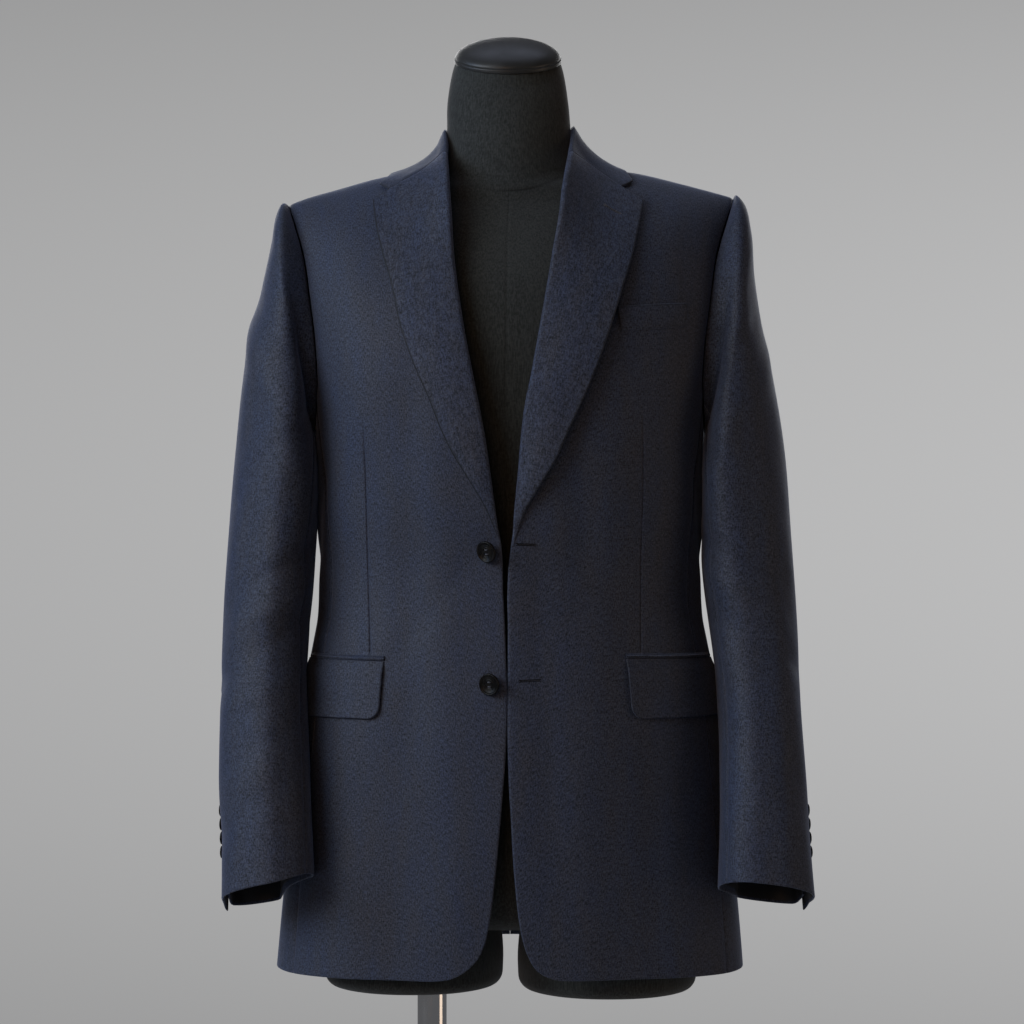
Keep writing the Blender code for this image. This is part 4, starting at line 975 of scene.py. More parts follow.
def leaf_and_stand(seam_foot, fold_at, hollow, edge):
    """The section of the collar: up the stand, over the fold and down the leaf to its edge."""
    seam_foot, fold_at, hollow, edge = np.array([seam_foot, fold_at, hollow, edge], float)
    outward = edge - seam_foot
    outward[2] = 0
    outward /= max(np.linalg.norm(outward), 1e-6)
    inner, outer = fold_at - outward * FOLD_HALF_WIDTH, fold_at + outward * FOLD_HALF_WIDTH
    inner[2] -= FOLD_DROP
    outer[2] -= FOLD_DROP
    stand = [seam_foot, (seam_foot + inner) / 2, inner, fold_at]
    t = np.linspace(0, 1, COLLAR_LEAF_POINTS)[:, None]
    leaf = (1 - t) ** 2 * outer + 2 * t * (1 - t) * hollow + t ** 2 * edge
    return np.concatenate([np.array(stand), leaf])


def collar_end(side, row, out):
    """The collar's front end: beside the top of the lapel to the notch and on to its own tip."""
    tip, normal = surface(side, pattern(side, *np.array(COLLAR_TIP[side]) * MM))
    tip = tip + normal * COLLAR_TIP_LIFT
    return np.concatenate([row, [tip]]), np.concatenate([out, [normal]])


def near_end(last, end, out, share):
    """A section of the collar short of its end, where it still lies nearly in the lapel's plane."""
    towards = last - end
    behind = np.sum(towards * out, -1, keepdims=True)
    return end + share * (towards - behind * out * COLLAR_FLAT[:, None])


FOLD_IN = {RIGHT: 2.2, LEFT: 2.6}  # how much closer to the neck its fold lies at the sides
FOLD_UP = {RIGHT: 3.0, LEFT: 6.0}  # and how much higher
FOLD_NEAR = ((-19, 0, 25, 58), (0.4, 1, 1, 0))  # depths, and how much of both there is there
COLLAR_EDGE_LIFT, COLLAR_TIP_LIFT = 0.0027, 0.0036
# its thickness, the step of its grid, and how dark the painted shadow along its free edges is
COLLAR_CLOTH, COLLAR_FINE, COLLAR_EDGE_SHADOW = 0.0022, 0.0022, 0.6
COLLAR_END_SHARE = 0.30  # how far the section before its end lies from it, as a share
# How often it is evened out along its length, how much and how far from its ends.
COLLAR_EVEN, COLLAR_EVEN_SHARE, COLLAR_EVEN_FROM = 14, 0.5, (0.006, 0.016)
COLLAR_NOTCH = (0.80, 0.86)  # share of the way over its ends where the gorge's seam stops
COLLAR_FLAT = np.array([0, 0, 0, 0.5, 0.8, 0.9, 0.9, 0.9, 0.9, 0.9])


def collar(tops):
    halves = {}
    for side in (RIGHT, LEFT):
        rows = COLLAR[side]
        sections = []
        for i in range(len(rows["fold_x"])):
            points = [[rows[f"{part}_{axis}"][i] for axis in "xyz"]
                      for part in ("seam", "fold", "hollow")]
            near_side = np.interp(rows["fold_y"][i], *FOLD_NEAR)
            points[1][0] -= FOLD_IN[side] * near_side
            points[1][2] += FOLD_UP[side] * near_side
            laid = pattern(side, side * rows["edge_across"][i] * MM, rows["edge_up"][i] * MM,
                           behind=rows["behind"][i] > 0)
            edge, outward = surface(side, laid)
            edge = edge + outward * COLLAR_EDGE_LIFT
            edge[0] *= side
            made = leaf_and_stand(*points, edge / MM) * MM
            made[:, 0] *= side
            sections.append(made)
        end, out = collar_end(side, *tops[side])
        sections += [near_end(sections[-1], end, out, COLLAR_END_SHARE), end]
        halves[side] = sections
    sections = np.array(halves[RIGHT][:0:-1] + halves[LEFT])
    across, upward = spans(sections)
    round_neck, over = upward.mean(axis=1), across.mean(axis=0)
    v = stations(round_neck[-1], LAPEL_FINE) * round_neck[-1]
    u = stations(over[-1], COLLAR_FINE) * over[-1]
    fine = read(read(sections, v, round_neck).swapaxes(0, 1), u, over).swapaxes(0, 1)
    from_end = np.minimum(v, v[-1] - v)[1:-1, None, None]
    share = COLLAR_EVEN_SHARE * ramp(from_end, *COLLAR_EVEN_FROM)
    for _ in range(COLLAR_EVEN):
        fine[1:-1] += share * ((fine[:-2] + fine[2:]) / 2 - fine[1:-1])
    normals = -grid_normals(fine)
    across, upward = spans(fine)
    at_notch = ramp(across[[0, -1]] / across[[0, -1], -1:], *COLLAR_NOTCH)
    ends = [(GORGE_FINISH, EDGE, share) for share in at_notch]
    piece = shell("jacket_collar", fine, normals, np.zeros(across.shape), COLLAR_CLOTH,
                  (PLAIN, EDGE, *ends), grain_of("collar", upward, across), lined=False,
                  edge_shadow=COLLAR_EDGE_SHADOW)
    cut_cloth(piece, "collar", *CUTS["collar"])


# ---------------------------------------------------------------- sleeves

CUFF_HIND_STEP = {RIGHT: 22.7, LEFT: 21.8}  # the hind seam runs outward to here at the cuff
VENT = 0.098  # length of the opening at the cuff
VENT_LAP = 0.45  # how far the undersleeve runs on beneath the topsleeve there, in steps
VENT_LAP_TOP = (0.86, 0.90)  # heights between which that ends
VENT_TOP = (VENT - 0.006, VENT + 0.004)  # where the opening itself ends
# How far the one stands out there and the other lies in, and up to where from the hind edge.
VENT_OUT = {"topsleeve": (0.0007, (0.010, 0.020)), "undersleeve": (-0.0021, (0.007, 0.016))}
# How much lower the topsleeve's corner hangs and the undersleeve's lies higher, and how wide.
VENT_CORNER = {"topsleeve": (0.0062, 0.010), "undersleeve": (-0.0080, 0.019)}
VENT_CORNER_CURVE, VENT_CORNER_HEIGHT = 1.3, 0.03
SLEEVE_HEAD = 1.46
SLEEVE_WIDTHS = {"topsleeve": 0.25, "undersleeve": 0.15}
SLEEVE_CLOTH = 0.0018
HIND_RANGE = (0.80, 1.10)  # heights between which the hind seam runs outward to the cuff
SLEEVE_JOIN = 0.00008  # half the gap at its seams, which the cloth turns in to
CUFF_RISE = {RIGHT: 0.0085, LEFT: 0.0}  # how much the inner side of the cuff's edge is drawn up
CUFF_RISE_CURVE, CUFF_RISE_HEIGHT = 1.5, 0.06
CUFF_TURN_UP = 0.0025


def sleeve_ring(rows, i, step):
    """Points of one ring of a sleeve at steps round it, 0 outside and a quarter round in front."""
    row = {name: rows[name][i] for name in rows}
    out = np.array([row["out"], row["out_deep"], row["out_up"]])
    inner = np.array([row["into"], row["into_deep"], row["into_up"]])
    centre, reach = (out + inner) / 2, (out - inner) / 2
    forward = np.array([0, -row["depth"], row["fore"]])
    angle = 2 * np.pi * step / ARMHOLE_STEPS
    outward = signed_power(np.cos(angle), 2 / SLEEVE_SQUARE)[:, None] * reach
    ahead = signed_power(np.sin(angle), 2 / SLEEVE_SQUARE)[:, None] * forward
    return (centre + outward + ahead) * MM


def clear_of_body(points):
    """Moves points of a sleeve out until they are clear of the jacket's body."""
    x, y, z = points[..., 0], points[..., 1], points[..., 2]
    off = smooth(CLEARANCE["up"] * MM, CLEARANCE["off"] * MM, z)
    half = section("side", z) + off
    deep = np.where(y > 0, section("back", z), section("front", z)) + off
    square = section("square", z)
    inside = (np.abs(x) / half) ** square + (np.abs(y) / deep) ** square
    scale = np.where((inside < 1) & (z < UNDERARM), inside ** (-1 / square), 1)
    return points * np.stack([scale, scale, np.ones_like(scale)], -1)


def sleeve_grid(side, first, last, u):
    """A row for each ring of a sleeve, with points at fractions u of its steps, first to last."""
    hole = armhole(side)[:-1]
    edge = body_point(side, hole[:, 0], hole[:, 1])
    towards = edge.mean(axis=0) - edge
    edge += towards / np.linalg.norm(towards, axis=1, keepdims=True) * ARMHOLE_GAP
    steps = first[:, None] + (last - first)[:, None] * u
    thrice = np.concatenate([edge] * 3)
    rings = [read(thrice, steps[0] % ARMHOLE_STEPS + ARMHOLE_STEPS)]
    rows = SLEEVE[side]
    for i in range(len(rows["out"])):
        ring = sleeve_ring(rows, i, steps[i + 1])
        ring[:, 0] *= side
        rings.append(clear_of_body(ring))
    return np.array(rings), steps


def sleeve_drape(side, points, degrees, upward):
    z = points[..., 2]
    out = (0.0005 * np.sin(np.radians(degrees * 2) + 9 * z) * np.sin(17 * z + side)
           + 0.0003 * np.sin(np.radians(degrees * 5) - 41 * z))
    for row in zip(*SLEEVE_FOLDS.values()):
        if row[0] != side:
            continue
        start, end = (np.array([np.radians(row[k]) * ARM_RADIUS, row[k + 1] * MM]) for k in (1, 3))
        turned = np.radians(degrees % 360) * ARM_RADIUS
        out = out + fold(np.stack([turned, z], -1), start, end, row[5] * MM, row[6] * MM)
    return out * ramp(upward[-1:] - upward, 0.0, 0.03)


def sleeve(side):
    count = len(SLEEVE[side]["out"]) + 1
    heights = np.concatenate([[SLEEVE_HEAD], SLEEVE[side]["out_up"] * MM])
    hind = SLEEVE_HIND_STEP + ((CUFF_HIND_STEP[side] - SLEEVE_HIND_STEP)
                               * (1 - ramp(heights, *HIND_RANGE)))
    fore = np.full(count, float(SLEEVE_FRONT_STEP))
    lap = VENT_LAP * (1 - ramp(heights, *VENT_LAP_TOP))
    for kind, first, last in (("topsleeve", hind - ARMHOLE_STEPS, fore),
                              ("undersleeve", fore, hind + lap)):
        u = stations(SLEEVE_WIDTHS[kind])
        rings, steps = sleeve_grid(side, first, last, u)
        for edge, inward in ((0, 1), (-1, -2)):
            towards = rings[:, inward] - rings[:, edge]
            rings[:, edge] += towards / np.linalg.norm(towards, axis=1, keepdims=True) * SLEEVE_JOIN
        down = spans(rings)[1].mean(axis=1)
        v = (1 - stations(down[-1])[::-1]) * down[-1]
        fine = clear_of_body(read(rings, v, down))[::-1]
        degrees = 360 / ARMHOLE_STEPS * read(steps, v, down)[::-1]
        across, upward = spans(fine)
        normals = grid_normals(fine)
        normals *= np.sign(np.sum(normals * (fine - fine.mean(axis=1, keepdims=True))))
        from_hind = across if kind == "topsleeve" else across[:, -1:] - across
        at_vent = 1 - ramp(upward, *VENT_TOP)
        stands, from_edge = VENT_OUT[kind]
        out = sleeve_drape(side, fine, degrees, upward)
        out += stands * at_vent * (1 - ramp(from_hind, *from_edge))
        corner, reach = VENT_CORNER[kind]
        fine[..., 2] -= (corner * np.clip(1 - from_hind / reach, 0, 1) ** VENT_CORNER_CURVE
                         * (1 - ramp(upward, 0, VENT_CORNER_HEIGHT)))
        inside = np.maximum(-np.cos(np.radians(degrees)), 0) ** CUFF_RISE_CURVE
        fine[..., 2] += CUFF_RISE[side] * inside * (1 - ramp(upward, 0, CUFF_RISE_HEIGHT))
        name = f"{kind}_{SIDE_NAMES[side]}"
        piece = shell(f"jacket_{name}", fine, normals, out, SLEEVE_CLOTH,
                      (SEAM, SEAM, EDGE, SEAM), fine[..., [0, 2, 1]], turn_up=CUFF_TURN_UP)
        cut_cloth(piece, name, *CUTS[kind])


# ---------------------------------------------------------------- pockets

POCKET_FINE = 0.0022
FLAP_WIDTH, FLAP_THICKNESS = 0.10, 0.0019
# How far a flap stands out at its top, what comes to that below its seam and at its lower edge.
FLAP_LIFT, FLAP_HANG, FLAP_KICK = 0.0010, (0.0023, (0.0, 0.22)), (0.0006, (0.7, 1.0))
JET_FINE, JET_LIFT, JET_BELLY = 0.0008, 0.0012, 0.0009
JET_SINK = (0.75, (0.80, 0.95))  # by how much and where it sinks in towards its hind end
WELT_SIZE, WELT_THICKNESS = (0.062, 0.023), 0.0018
WELT_LIFT, WELT_STAND = 0.0012, 0.0014
FLAP_SLOPE = 0.0012  # how much further back its front edge lies at the bottom of its corner


def trim(name, kind, side, grid, lift, thickness, kinds):
    """A small piece on a front from a fine pattern grid."""
    points, normals = surface(side, grid)
    across, _ = spans(points)
    start = side * points[:, :1, 0]
    grain = grain_of(f"front_{SIDE_NAMES[side]}", across, points[..., 2], start)
    piece = shell(f"jacket_{name}", points, normals, lift + front_shape(side, points), thickness,
                  kinds, grain, lined=False, edge_shadow=TRIM_EDGE_SHADOW)
    cut_cloth(piece, name, *CUTS[kind])


def between(left, right, u):
    return left[:, None] * (1 - u[None, :, None]) + right[:, None] * u[None, :, None]


def flap(side):
    """A hip pocket's flap, and the jet that lies above it."""
    shape = FLAP[side]
    top_front, top_back = (value * MM for value in shape["top"])
    low = shape["bottom"] * MM
    heights = np.array([top_front, low + FLAP_CORNER * MM, low])
    fronts = side * np.array(shape["front"]) * MM
    fronts = np.append(fronts, fronts[-1] + side * FLAP_SLOPE)
    v = stations(top_front - low, POCKET_FINE)
    up = low + v * (top_front - low)
    corner = FLAP_CORNER * MM
    inward = corner - np.sqrt(np.maximum(corner ** 2 - np.maximum(corner - (up - low), 0) ** 2, 0))
    front_at = np.interp(up, heights[::-1], fronts[::-1]) + side * inward
    left = pattern(side, front_at, up)
    right = np.stack([np.full(len(v), float(FLAP_END_TURN)), low + v * (top_back - low)], 1)
    u = stations(FLAP_WIDTH, POCKET_FINE)
    grid = between(left, right, u)
    name = SIDE_NAMES[side]
    lift = FLAP_LIFT
    for more, below in (FLAP_HANG, FLAP_KICK):
        lift = lift + more * ramp(1 - v, *below)[:, None]
    trim(f"flap_{name}", "flap", side, grid, lift, FLAP_THICKNESS, (EDGE, PLAIN, EDGE, PLAIN))
    top = np.stack([left[-1, 0] + u * (FLAP_END_TURN - left[-1, 0]),
                    top_front + u * (top_back - top_front)], 1)
    v = stations(JET_HEIGHT * MM, JET_FINE)
    raised = np.array([0, 1])
    jet = (top + JET_GAP * MM * raised)[None] + (v * JET_HEIGHT * MM)[:, None, None] * raised
    sink, sinks_from = JET_SINK
    lift = (JET_LIFT + JET_BELLY * np.sin(np.pi * v)[:, None]) * (1 - sink * ramp(u, *sinks_from))
    trim(f"jet_{name}", "jet", side, jet, lift, JET_THICKNESS, (EDGE, PLAIN, EDGE, SEAM))


def breast_welt():
    low, high = (np.array(WELT[name]) * MM for name in ("bottom", "top"))
    u, v = (stations(length, POCKET_FINE) for length in WELT_SIZE)
    bottom = low[0] + u[:, None] * (low[1] - low[0])
    top = high[0] + u[:, None] * (high[1] - high[0])
    grid = bottom[None] * (1 - v[:, None, None]) + top[None] * v[:, None, None]
    lift = WELT_LIFT + WELT_STAND * ramp(v, 0.0, 0.5)[:, None]
    trim("breast_welt", "welt", LEFT, pattern(LEFT, grid[..., 0], grid[..., 1]), lift,
         WELT_THICKNESS, (EDGE, EDGE, SEAM, EDGE))


# ---------------------------------------------------------------- small turned things

def closed_rings(rings):
    """The points of closed rings of equal counts, and the faces of the wall through them."""
    rings = np.asarray(rings)
    rows, count = rings.shape[:2]
    index = np.arange(rows * count).reshape(rows, count)
    ahead = np.roll(index, -1, axis=1)
    quads = np.stack([index[:-1], ahead[:-1], ahead[1:], index[1:]], -1).reshape(-1, 4)
    return rings.reshape(-1, 3), quads


def capped(rings):
    """The points and faces of a solid through closed rings, with a flat face at either end."""
    points, quads = closed_rings(rings)
    count, end = len(rings[0]), len(points)
    return points, quads.tolist() + [list(range(count))[::-1], list(range(end - count, end))]


def ring_piece(name, rings, finish):
    """A solid piece through rings counted anticlockwise from above, lowest first."""
    return new_piece(name, mesh_from(name, *capped(rings), sharp=SHARP), finish)


def turned_rings(profile, steps, axis_at=(0, 0)):
    """Rings of a turned shape from its profile (radius, height), lowest first."""
    angle = np.linspace(0, 2 * np.pi, steps, endpoint=False)
    return [np.stack([axis_at[0] + r * np.cos(angle), axis_at[1] + r * np.sin(angle),
                      np.full(steps, float(h))], 1) for r, h in profile]


TUBE_SIDES = 8


def tube_points(path, radius, closed=False):
    """Rings of a tube along a path of points."""
    path = np.asarray(path, float)
    if closed:
        ahead = np.roll(path, -1, axis=0) - np.roll(path, 1, axis=0)
    else:
        ahead = np.gradient(path, axis=0)
    ahead /= np.linalg.norm(ahead, axis=1, keepdims=True)
    side_way = np.cross(ahead, (0, 0, 1.0))
    side_way /= np.maximum(np.linalg.norm(side_way, axis=1, keepdims=True), 1e-9)
    up_way = np.cross(side_way, ahead)
    angle = np.linspace(0, 2 * np.pi, TUBE_SIDES, endpoint=False)
    radius = np.broadcast_to(radius, len(path))[:, None, None]
    return (path[:, None] + radius * (np.cos(angle)[None, :, None] * side_way[:, None]
                                      + np.sin(angle)[None, :, None] * up_way[:, None]))


def combined(piece, operation, others):
    """The mesh of a piece joined with others or cut by them, which are then removed."""
    for other in others:
        step = piece.modifiers.new(other.name, "BOOLEAN")
        step.operation, step.object = operation, other
    mesh = bpy.data.meshes.new_from_object(
        piece.evaluated_get(bpy.context.evaluated_depsgraph_get()))
    piece.modifiers.clear()
    for other in others:
        bpy.data.objects.remove(other)
    return mesh


def join(parts):
    """One list of points and faces from several, each with its own finish number."""
    points, faces, finish = [], [], []
    start = 0
    for part_points, part_faces, number in parts:
        points.append(np.asarray(part_points))
        faces += [[k + start for k in face] for face in part_faces]
        finish += [number] * len(part_faces)
        start += len(part_points)
    return np.concatenate(points), faces, finish


def tube_faces(rings, closed=False):
    rows, count = rings.shape[:2]
    index = np.arange(rows * count).reshape(rows, count)
    if closed:
        index = np.concatenate([index, index[:1]])
    ahead = np.roll(index, -1, axis=1)
    faces = np.stack([index[:-1], index[1:], ahead[1:], ahead[:-1]], -1).reshape(-1, 4).tolist()
    if not closed:
        faces += [index[0].tolist(), index[-1, ::-1].tolist()]
    return faces


# ---------------------------------------------------------------- buttons and buttonholes

BUTTON_STEPS, BUTTON_SHARP = 72, 42
# Radius and height from its middle, from the centre of its back round the rim to that of its face,
# as shares of its radius. So are the places and sizes of its holes and of the thread through them.
BUTTON_PROFILE = [
    (0.0, -0.16), (0.55, -0.16), (0.80, -0.12), (0.93, -0.04), (0.985, 0.03), (1.0, 0.11),
    (0.985, 0.18), (0.95, 0.225), (0.90, 0.245), (0.85, 0.235), (0.80, 0.195), (0.75, 0.145),
    (0.70, 0.118), (0.665, 0.112), (0.64, 0.132), (0.615, 0.112), (0.545, 0.106), (0.52, 0.128),
    (0.495, 0.104), (0.435, 0.101), (0.41, 0.120), (0.385, 0.100), (0.30, 0.100), (0.0, 0.100),
]
HOLE_OFF, HOLE_RADIUS, HOLE_STEPS = 0.20, 0.095, 16
THREAD_OFFS, THREAD_RADIUS = (-0.035, 0.0, 0.035), 0.022
THREAD_REACH, THREAD_UP, THREAD_BEND = 0.22, 0.135, 0.30
SHANK = 0.004


def button_mesh(name, diameter):
    """A turned four-hole button with a raised rim, its holes cut through, and its thread."""
    r = diameter / 2
    made = bmesh.new()
    angle = np.linspace(0, 2 * np.pi, BUTTON_STEPS, endpoint=False)
    rings = []
    for share, up in BUTTON_PROFILE:
        if share == 0:
            rings.append([made.verts.new((0, 0, up * r))])
        else:
            rings.append([made.verts.new((share * r * math.cos(a), share * r * math.sin(a), up * r))
                          for a in angle])
    for low, high in zip(rings, rings[1:]):
        for j in range(BUTTON_STEPS):
            k = (j + 1) % BUTTON_STEPS
            corners = [ring[i % len(ring)]
                       for ring, i in ((low, j), (low, k), (high, k), (high, j))]
            made.faces.new(list(dict.fromkeys(corners)))
    mesh = bpy.data.meshes.new(name)
    made.to_mesh(mesh)
    made.free()
    blank = placed(name, mesh)
    cut = bmesh.new()
    for x, y in ((-1, -1), (-1, 1), (1, -1), (1, 1)):
        place = Matrix.Translation((x * HOLE_OFF * r, y * HOLE_OFF * r, 0))
        bmesh.ops.create_cone(cut, cap_ends=True, segments=HOLE_STEPS, radius1=HOLE_RADIUS * r,
                              radius2=HOLE_RADIUS * r, depth=r, matrix=place)
    cut_mesh = bpy.data.meshes.new(name + "_holes")
    cut.to_mesh(cut_mesh)
    cut.free()
    body = combined(blank, "DIFFERENCE", [placed(name + "_holes", cut_mesh)])
    bpy.data.objects.remove(blank)
    parts = [([v.co[:] for v in body.vertices], [list(p.vertices) for p in body.polygons], 0)]
    # two bars of thread over the holes and a shank behind
    x = np.linspace(-THREAD_REACH, THREAD_REACH, 9)
    z = THREAD_UP - THREAD_BEND * np.abs(x / THREAD_REACH) ** 6
    for hole in (-HOLE_OFF, HOLE_OFF):
        for off in THREAD_OFFS:
            path = np.stack([x * r, np.full(len(x), (hole + off) * r), z * r], 1)
            rings = tube_points(path, THREAD_RADIUS * r)
            parts.append((rings.reshape(-1, 3), tube_faces(rings), 1))
    shank = np.array(turned_rings([(0.30 * r, -0.16 * r - SHANK),
                                   (0.24 * r, -0.16 * r - SHANK * 0.5), (0.28 * r, -0.10 * r)], 16))
    parts.append((*capped(shank), 1))
    bpy.data.meshes.remove(body)
    return mesh_from(name, *join(parts), sharp=BUTTON_SHARP)


FRONT_BUTTON_STAND = {"upper": 0.0052, "lower": 0.0044}  # from the cloth to the button's middle
FRONT_BUTTON_LEAN = {"upper": 33, "lower": 27}  # degrees its face turns to the wearer's right
FRONT_BUTTON_NOD = -0.17
CUFF_BUTTON_STAND = 0.0036


def facing_place(point, outward):
    """A placement at a point with its own Z along outward."""
    turn = Vector(outward).to_track_quat("Z", "Y").to_matrix().to_4x4()
    return Matrix.Translation(Vector(point)) @ turn


def put_button(name, node, mesh, place):
    piece = new_piece(name, mesh.copy(), "horn", "thread")
    piece.data.transform(place)
    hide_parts(node)


def cloth_point(side, across, up):
    """A point of a front's outside at a place across and a height, and the way out from it."""
    points, normals = surface(side, pattern(side, across, up))
    return points + normals * front_shape(side, points)[..., None], normals


def front_buttons():
    mesh = button_mesh("front_button", FRONT_BUTTON)
    for name, (across, up) in BUTTON_PLACES.items():
        point, outward = cloth_point(RIGHT, across * MM, up * MM)
        lean = Matrix.Rotation(-math.radians(FRONT_BUTTON_LEAN[name]), 3, "Z")
        place = Vector(point) + Vector(outward) * FRONT_BUTTON_STAND[name]
        outward = Vector(outward) + Vector((0, 0, FRONT_BUTTON_NOD))
        put_button(f"button_front_{name}", f"front_button_{name}", mesh,
                   facing_place(place, lean @ Vector(outward)))


def cuff_buttons(side):
    """Buttons in a row beside the vent of each cuff."""
    mesh = button_mesh("cuff_button", CUFF_BUTTON)
    count = len(SLEEVE[side]["out"]) + 1
    step = np.full(count, CUFF_BUTTON_TURN * ARMHOLE_STEPS)
    line, _ = sleeve_grid(side, step - 0.5, step + 0.5, np.array([0, 0.5, 1.0]))
    for i in range(CUFF_BUTTON_COUNT):
        up = CUFF_BUTTON_FIRST + i * CUFF_BUTTON_PITCH
        at = np.stack([[np.interp(up, line[::-1, j, 2], line[::-1, j, k]) for k in range(3)]
                       for j in range(3)])
        run = Vector(at[2] - at[0])
        outward = run.cross(Vector((0, 0, 1)))
        outward *= 1 if outward.x * side > 0 else -1
        place = Vector(at[1]) + outward.normalized() * CUFF_BUTTON_STAND
        number = f"{SIDE_NAMES[side]}_{i + 1}"
        put_button(f"button_cuff_{number}", f"cuff_button_{number}", mesh,
                   facing_place(place, outward.normalized()))


def mesh_tree(piece):
    return BVHTree.FromPolygons([v.co[:] for v in piece.data.vertices],
                                [list(face.vertices) for face in piece.data.polygons])


def laid_on(tree, side, flat):
    """Points of a piece's outside at places across the front and heights, and the way out."""
    points, normals = surface(side, pattern(side, flat[:, 0], flat[:, 1]))
    found = [tree.ray_cast(Vector(p + n * 0.03), Vector(-n))[0] for p, n in zip(points, normals)]
    return np.array([tuple(place) for place in found]), normals


EYE_TURN, EYE_STEPS, SLIT_STEPS = 150, 22, 60
STITCH_RIB = 0.16  # how much each stitch round a hole is thicker or thinner than the next
CORD_OUT = 0.35  # how far the cord lies out of the cloth, as a share of its thickness
SLIT_TOP, SLIT_DEPTH = 0.0001, 0.0006


def buttonhole(name, on, side, start, end, half, cord, finish, eye=0.0011):
    """A worked keyhole buttonhole: a cord of stitches round a slit with an eye at its start."""
    tree = mesh_tree(on)
    start, end = np.array(start) * MM, np.array(end) * MM
    along_it = end - start
    length = np.linalg.norm(along_it)
    along_it /= length
    aside = np.array([-along_it[1], along_it[0]])
    around = np.radians(np.linspace(EYE_TURN, -EYE_TURN, EYE_STEPS))
    straight = np.linspace(eye * 1.3, length, SLIT_STEPS)
    outline = np.concatenate([
        np.stack([-np.cos(around) * eye, np.sin(around) * eye], 1) * [-1, 1],
        np.stack([straight, np.full(len(straight), -half)], 1),
        np.stack([straight[::-1], np.full(len(straight), half)], 1),
    ])
    points, normals = laid_on(tree, side,
                              start + outline[:, :1] * along_it + outline[:, 1:] * aside)
    stitch = cord * (1 + STITCH_RIB * np.cos(np.arange(len(points)) * np.pi))
    rings = tube_points(points + normals * cord * CORD_OUT, stitch, closed=True)
    # the slit, and the eye as its round end
    slit_half = np.where(straight < eye * 1.6, eye * 0.75, half * 0.28)
    slit = np.concatenate([np.stack([straight - eye, -slit_half], 1),
                           np.stack([straight - eye, slit_half], 1)[::-1]])
    low, low_normals = laid_on(tree, side, start + slit[:, :1] * along_it + slit[:, 1:] * aside)
    top, bottom = low + low_normals * SLIT_TOP, low - low_normals * SLIT_DEPTH
    n = len(top)
    faces = [[j, j + 1, n - 2 - j, n - 1 - j] for j in range(n // 2 - 1)]
    faces += [[n + k for k in face[::-1]] for face in faces]
    faces += [[(j + 1) % n, j, n + j, n + (j + 1) % n] for j in range(n)]
    mesh = mesh_from(name, *join([(rings.reshape(-1, 3), tube_faces(rings, closed=True), 0),
                                  (np.concatenate([top, bottom]), faces, 1)]))
    piece = new_piece(name, mesh, finish, "shadow")


# ---------------------------------------------------------------- the form and its stand

FORM_COLUMNS = 144
FORM_SHARP = 50
STUB_COLUMNS, STUB_SQUARE = 96, 2.2
FORM_SEAMS = (269.1, 90.0, 182.0, -2.0)  # centre front, centre back and both flanks, in degrees
FORM_SEAM_STEPS = (-1.6, -0.8, -0.4, -0.15, 0.15, 0.4, 0.8, 1.6)
FORM_SEAM_CLEAR = 1.9  # within this many degrees of a seam only those steps are drawn
FORM_SEAM_WIDTH, FORM_SEAM_DEPTH, FORM_SEAM_DARK = 0.42, 0.0004, 0.12
FORM_SEAM_TOP = (1.452, 1.460)
FORM_FINE, NECK_FINE, NECK_RANGE = 0.006, 0.0014, (1.44, 1.482)
KNOT_MORE = 0.002  # what is added to the distance of two rings, so that close ones don't kink
NECK_SEAM_WIDTH, NECK_SEAM_DARK = 0.0011, 0.0009
NECK_SEAM_FADE = (-0.02, 0.01)  # it reads darker from here on towards the wearer's left
NECK_SEAM = table("across up", [(-60, 1478), (-45, 1470), (-30, 1463.5), (-8, 1459.5), (10, 1460),
                                (28, 1464.5), (42, 1470.5), (49, 1474), (62, 1480)])


def from_form_seam(degrees):
    """How many degrees each angle is from the nearest upright seam of the form."""
    return np.abs((degrees[:, None] - np.array(FORM_SEAMS)[None] + 180) % 360 - 180).min(axis=1)


def form_angles():
    base = np.linspace(0, 360, FORM_COLUMNS, endpoint=False)
    extra = np.concatenate([(seam_at + np.array(FORM_SEAM_STEPS)) % 360 for seam_at in FORM_SEAMS])
    return np.sort(np.concatenate([base[from_form_seam(base) > FORM_SEAM_CLEAR], extra]))


def form_ring(row, degrees):
    angle = np.radians(degrees)
    x = row["across"] + row["side"] * signed_power(np.cos(angle), 2 / row["square"])
    depth = np.where(np.sin(angle) > 0, row["back"], row["front"])
    y = row["middle"] + depth * signed_power(np.sin(angle), 2 / row["square"])
    return np.stack([x, y, np.full(len(angle), row["up"])], 1) * MM


def neck_top_ring(radius, below, degrees):
    """A ring square to the tilted neck top, at a distance below the cap."""
    angle = np.radians(degrees)
    flat = np.stack([radius * np.cos(angle), radius * np.sin(angle),
                     np.full(len(angle), -below)], 1)
    tilt = np.array(Matrix.Rotation(NECK_TILT, 3, "X"))
    return flat @ tilt.T + np.array(NECK_TOP)


def form_steps(rings, knots):
    """Places along the knots of the form's rings, closer together round the foot of the neck."""
    steps = []
    for i, (low, high) in enumerate(zip(knots, knots[1:])):
        fine = NECK_FINE if NECK_RANGE[0] < rings[i, 0, 2] < NECK_RANGE[1] else FORM_FINE
        steps.append(np.linspace(low, high, max(int((high - low) / fine), 1), endpoint=False))
    return np.concatenate(steps + [knots[-1:]])


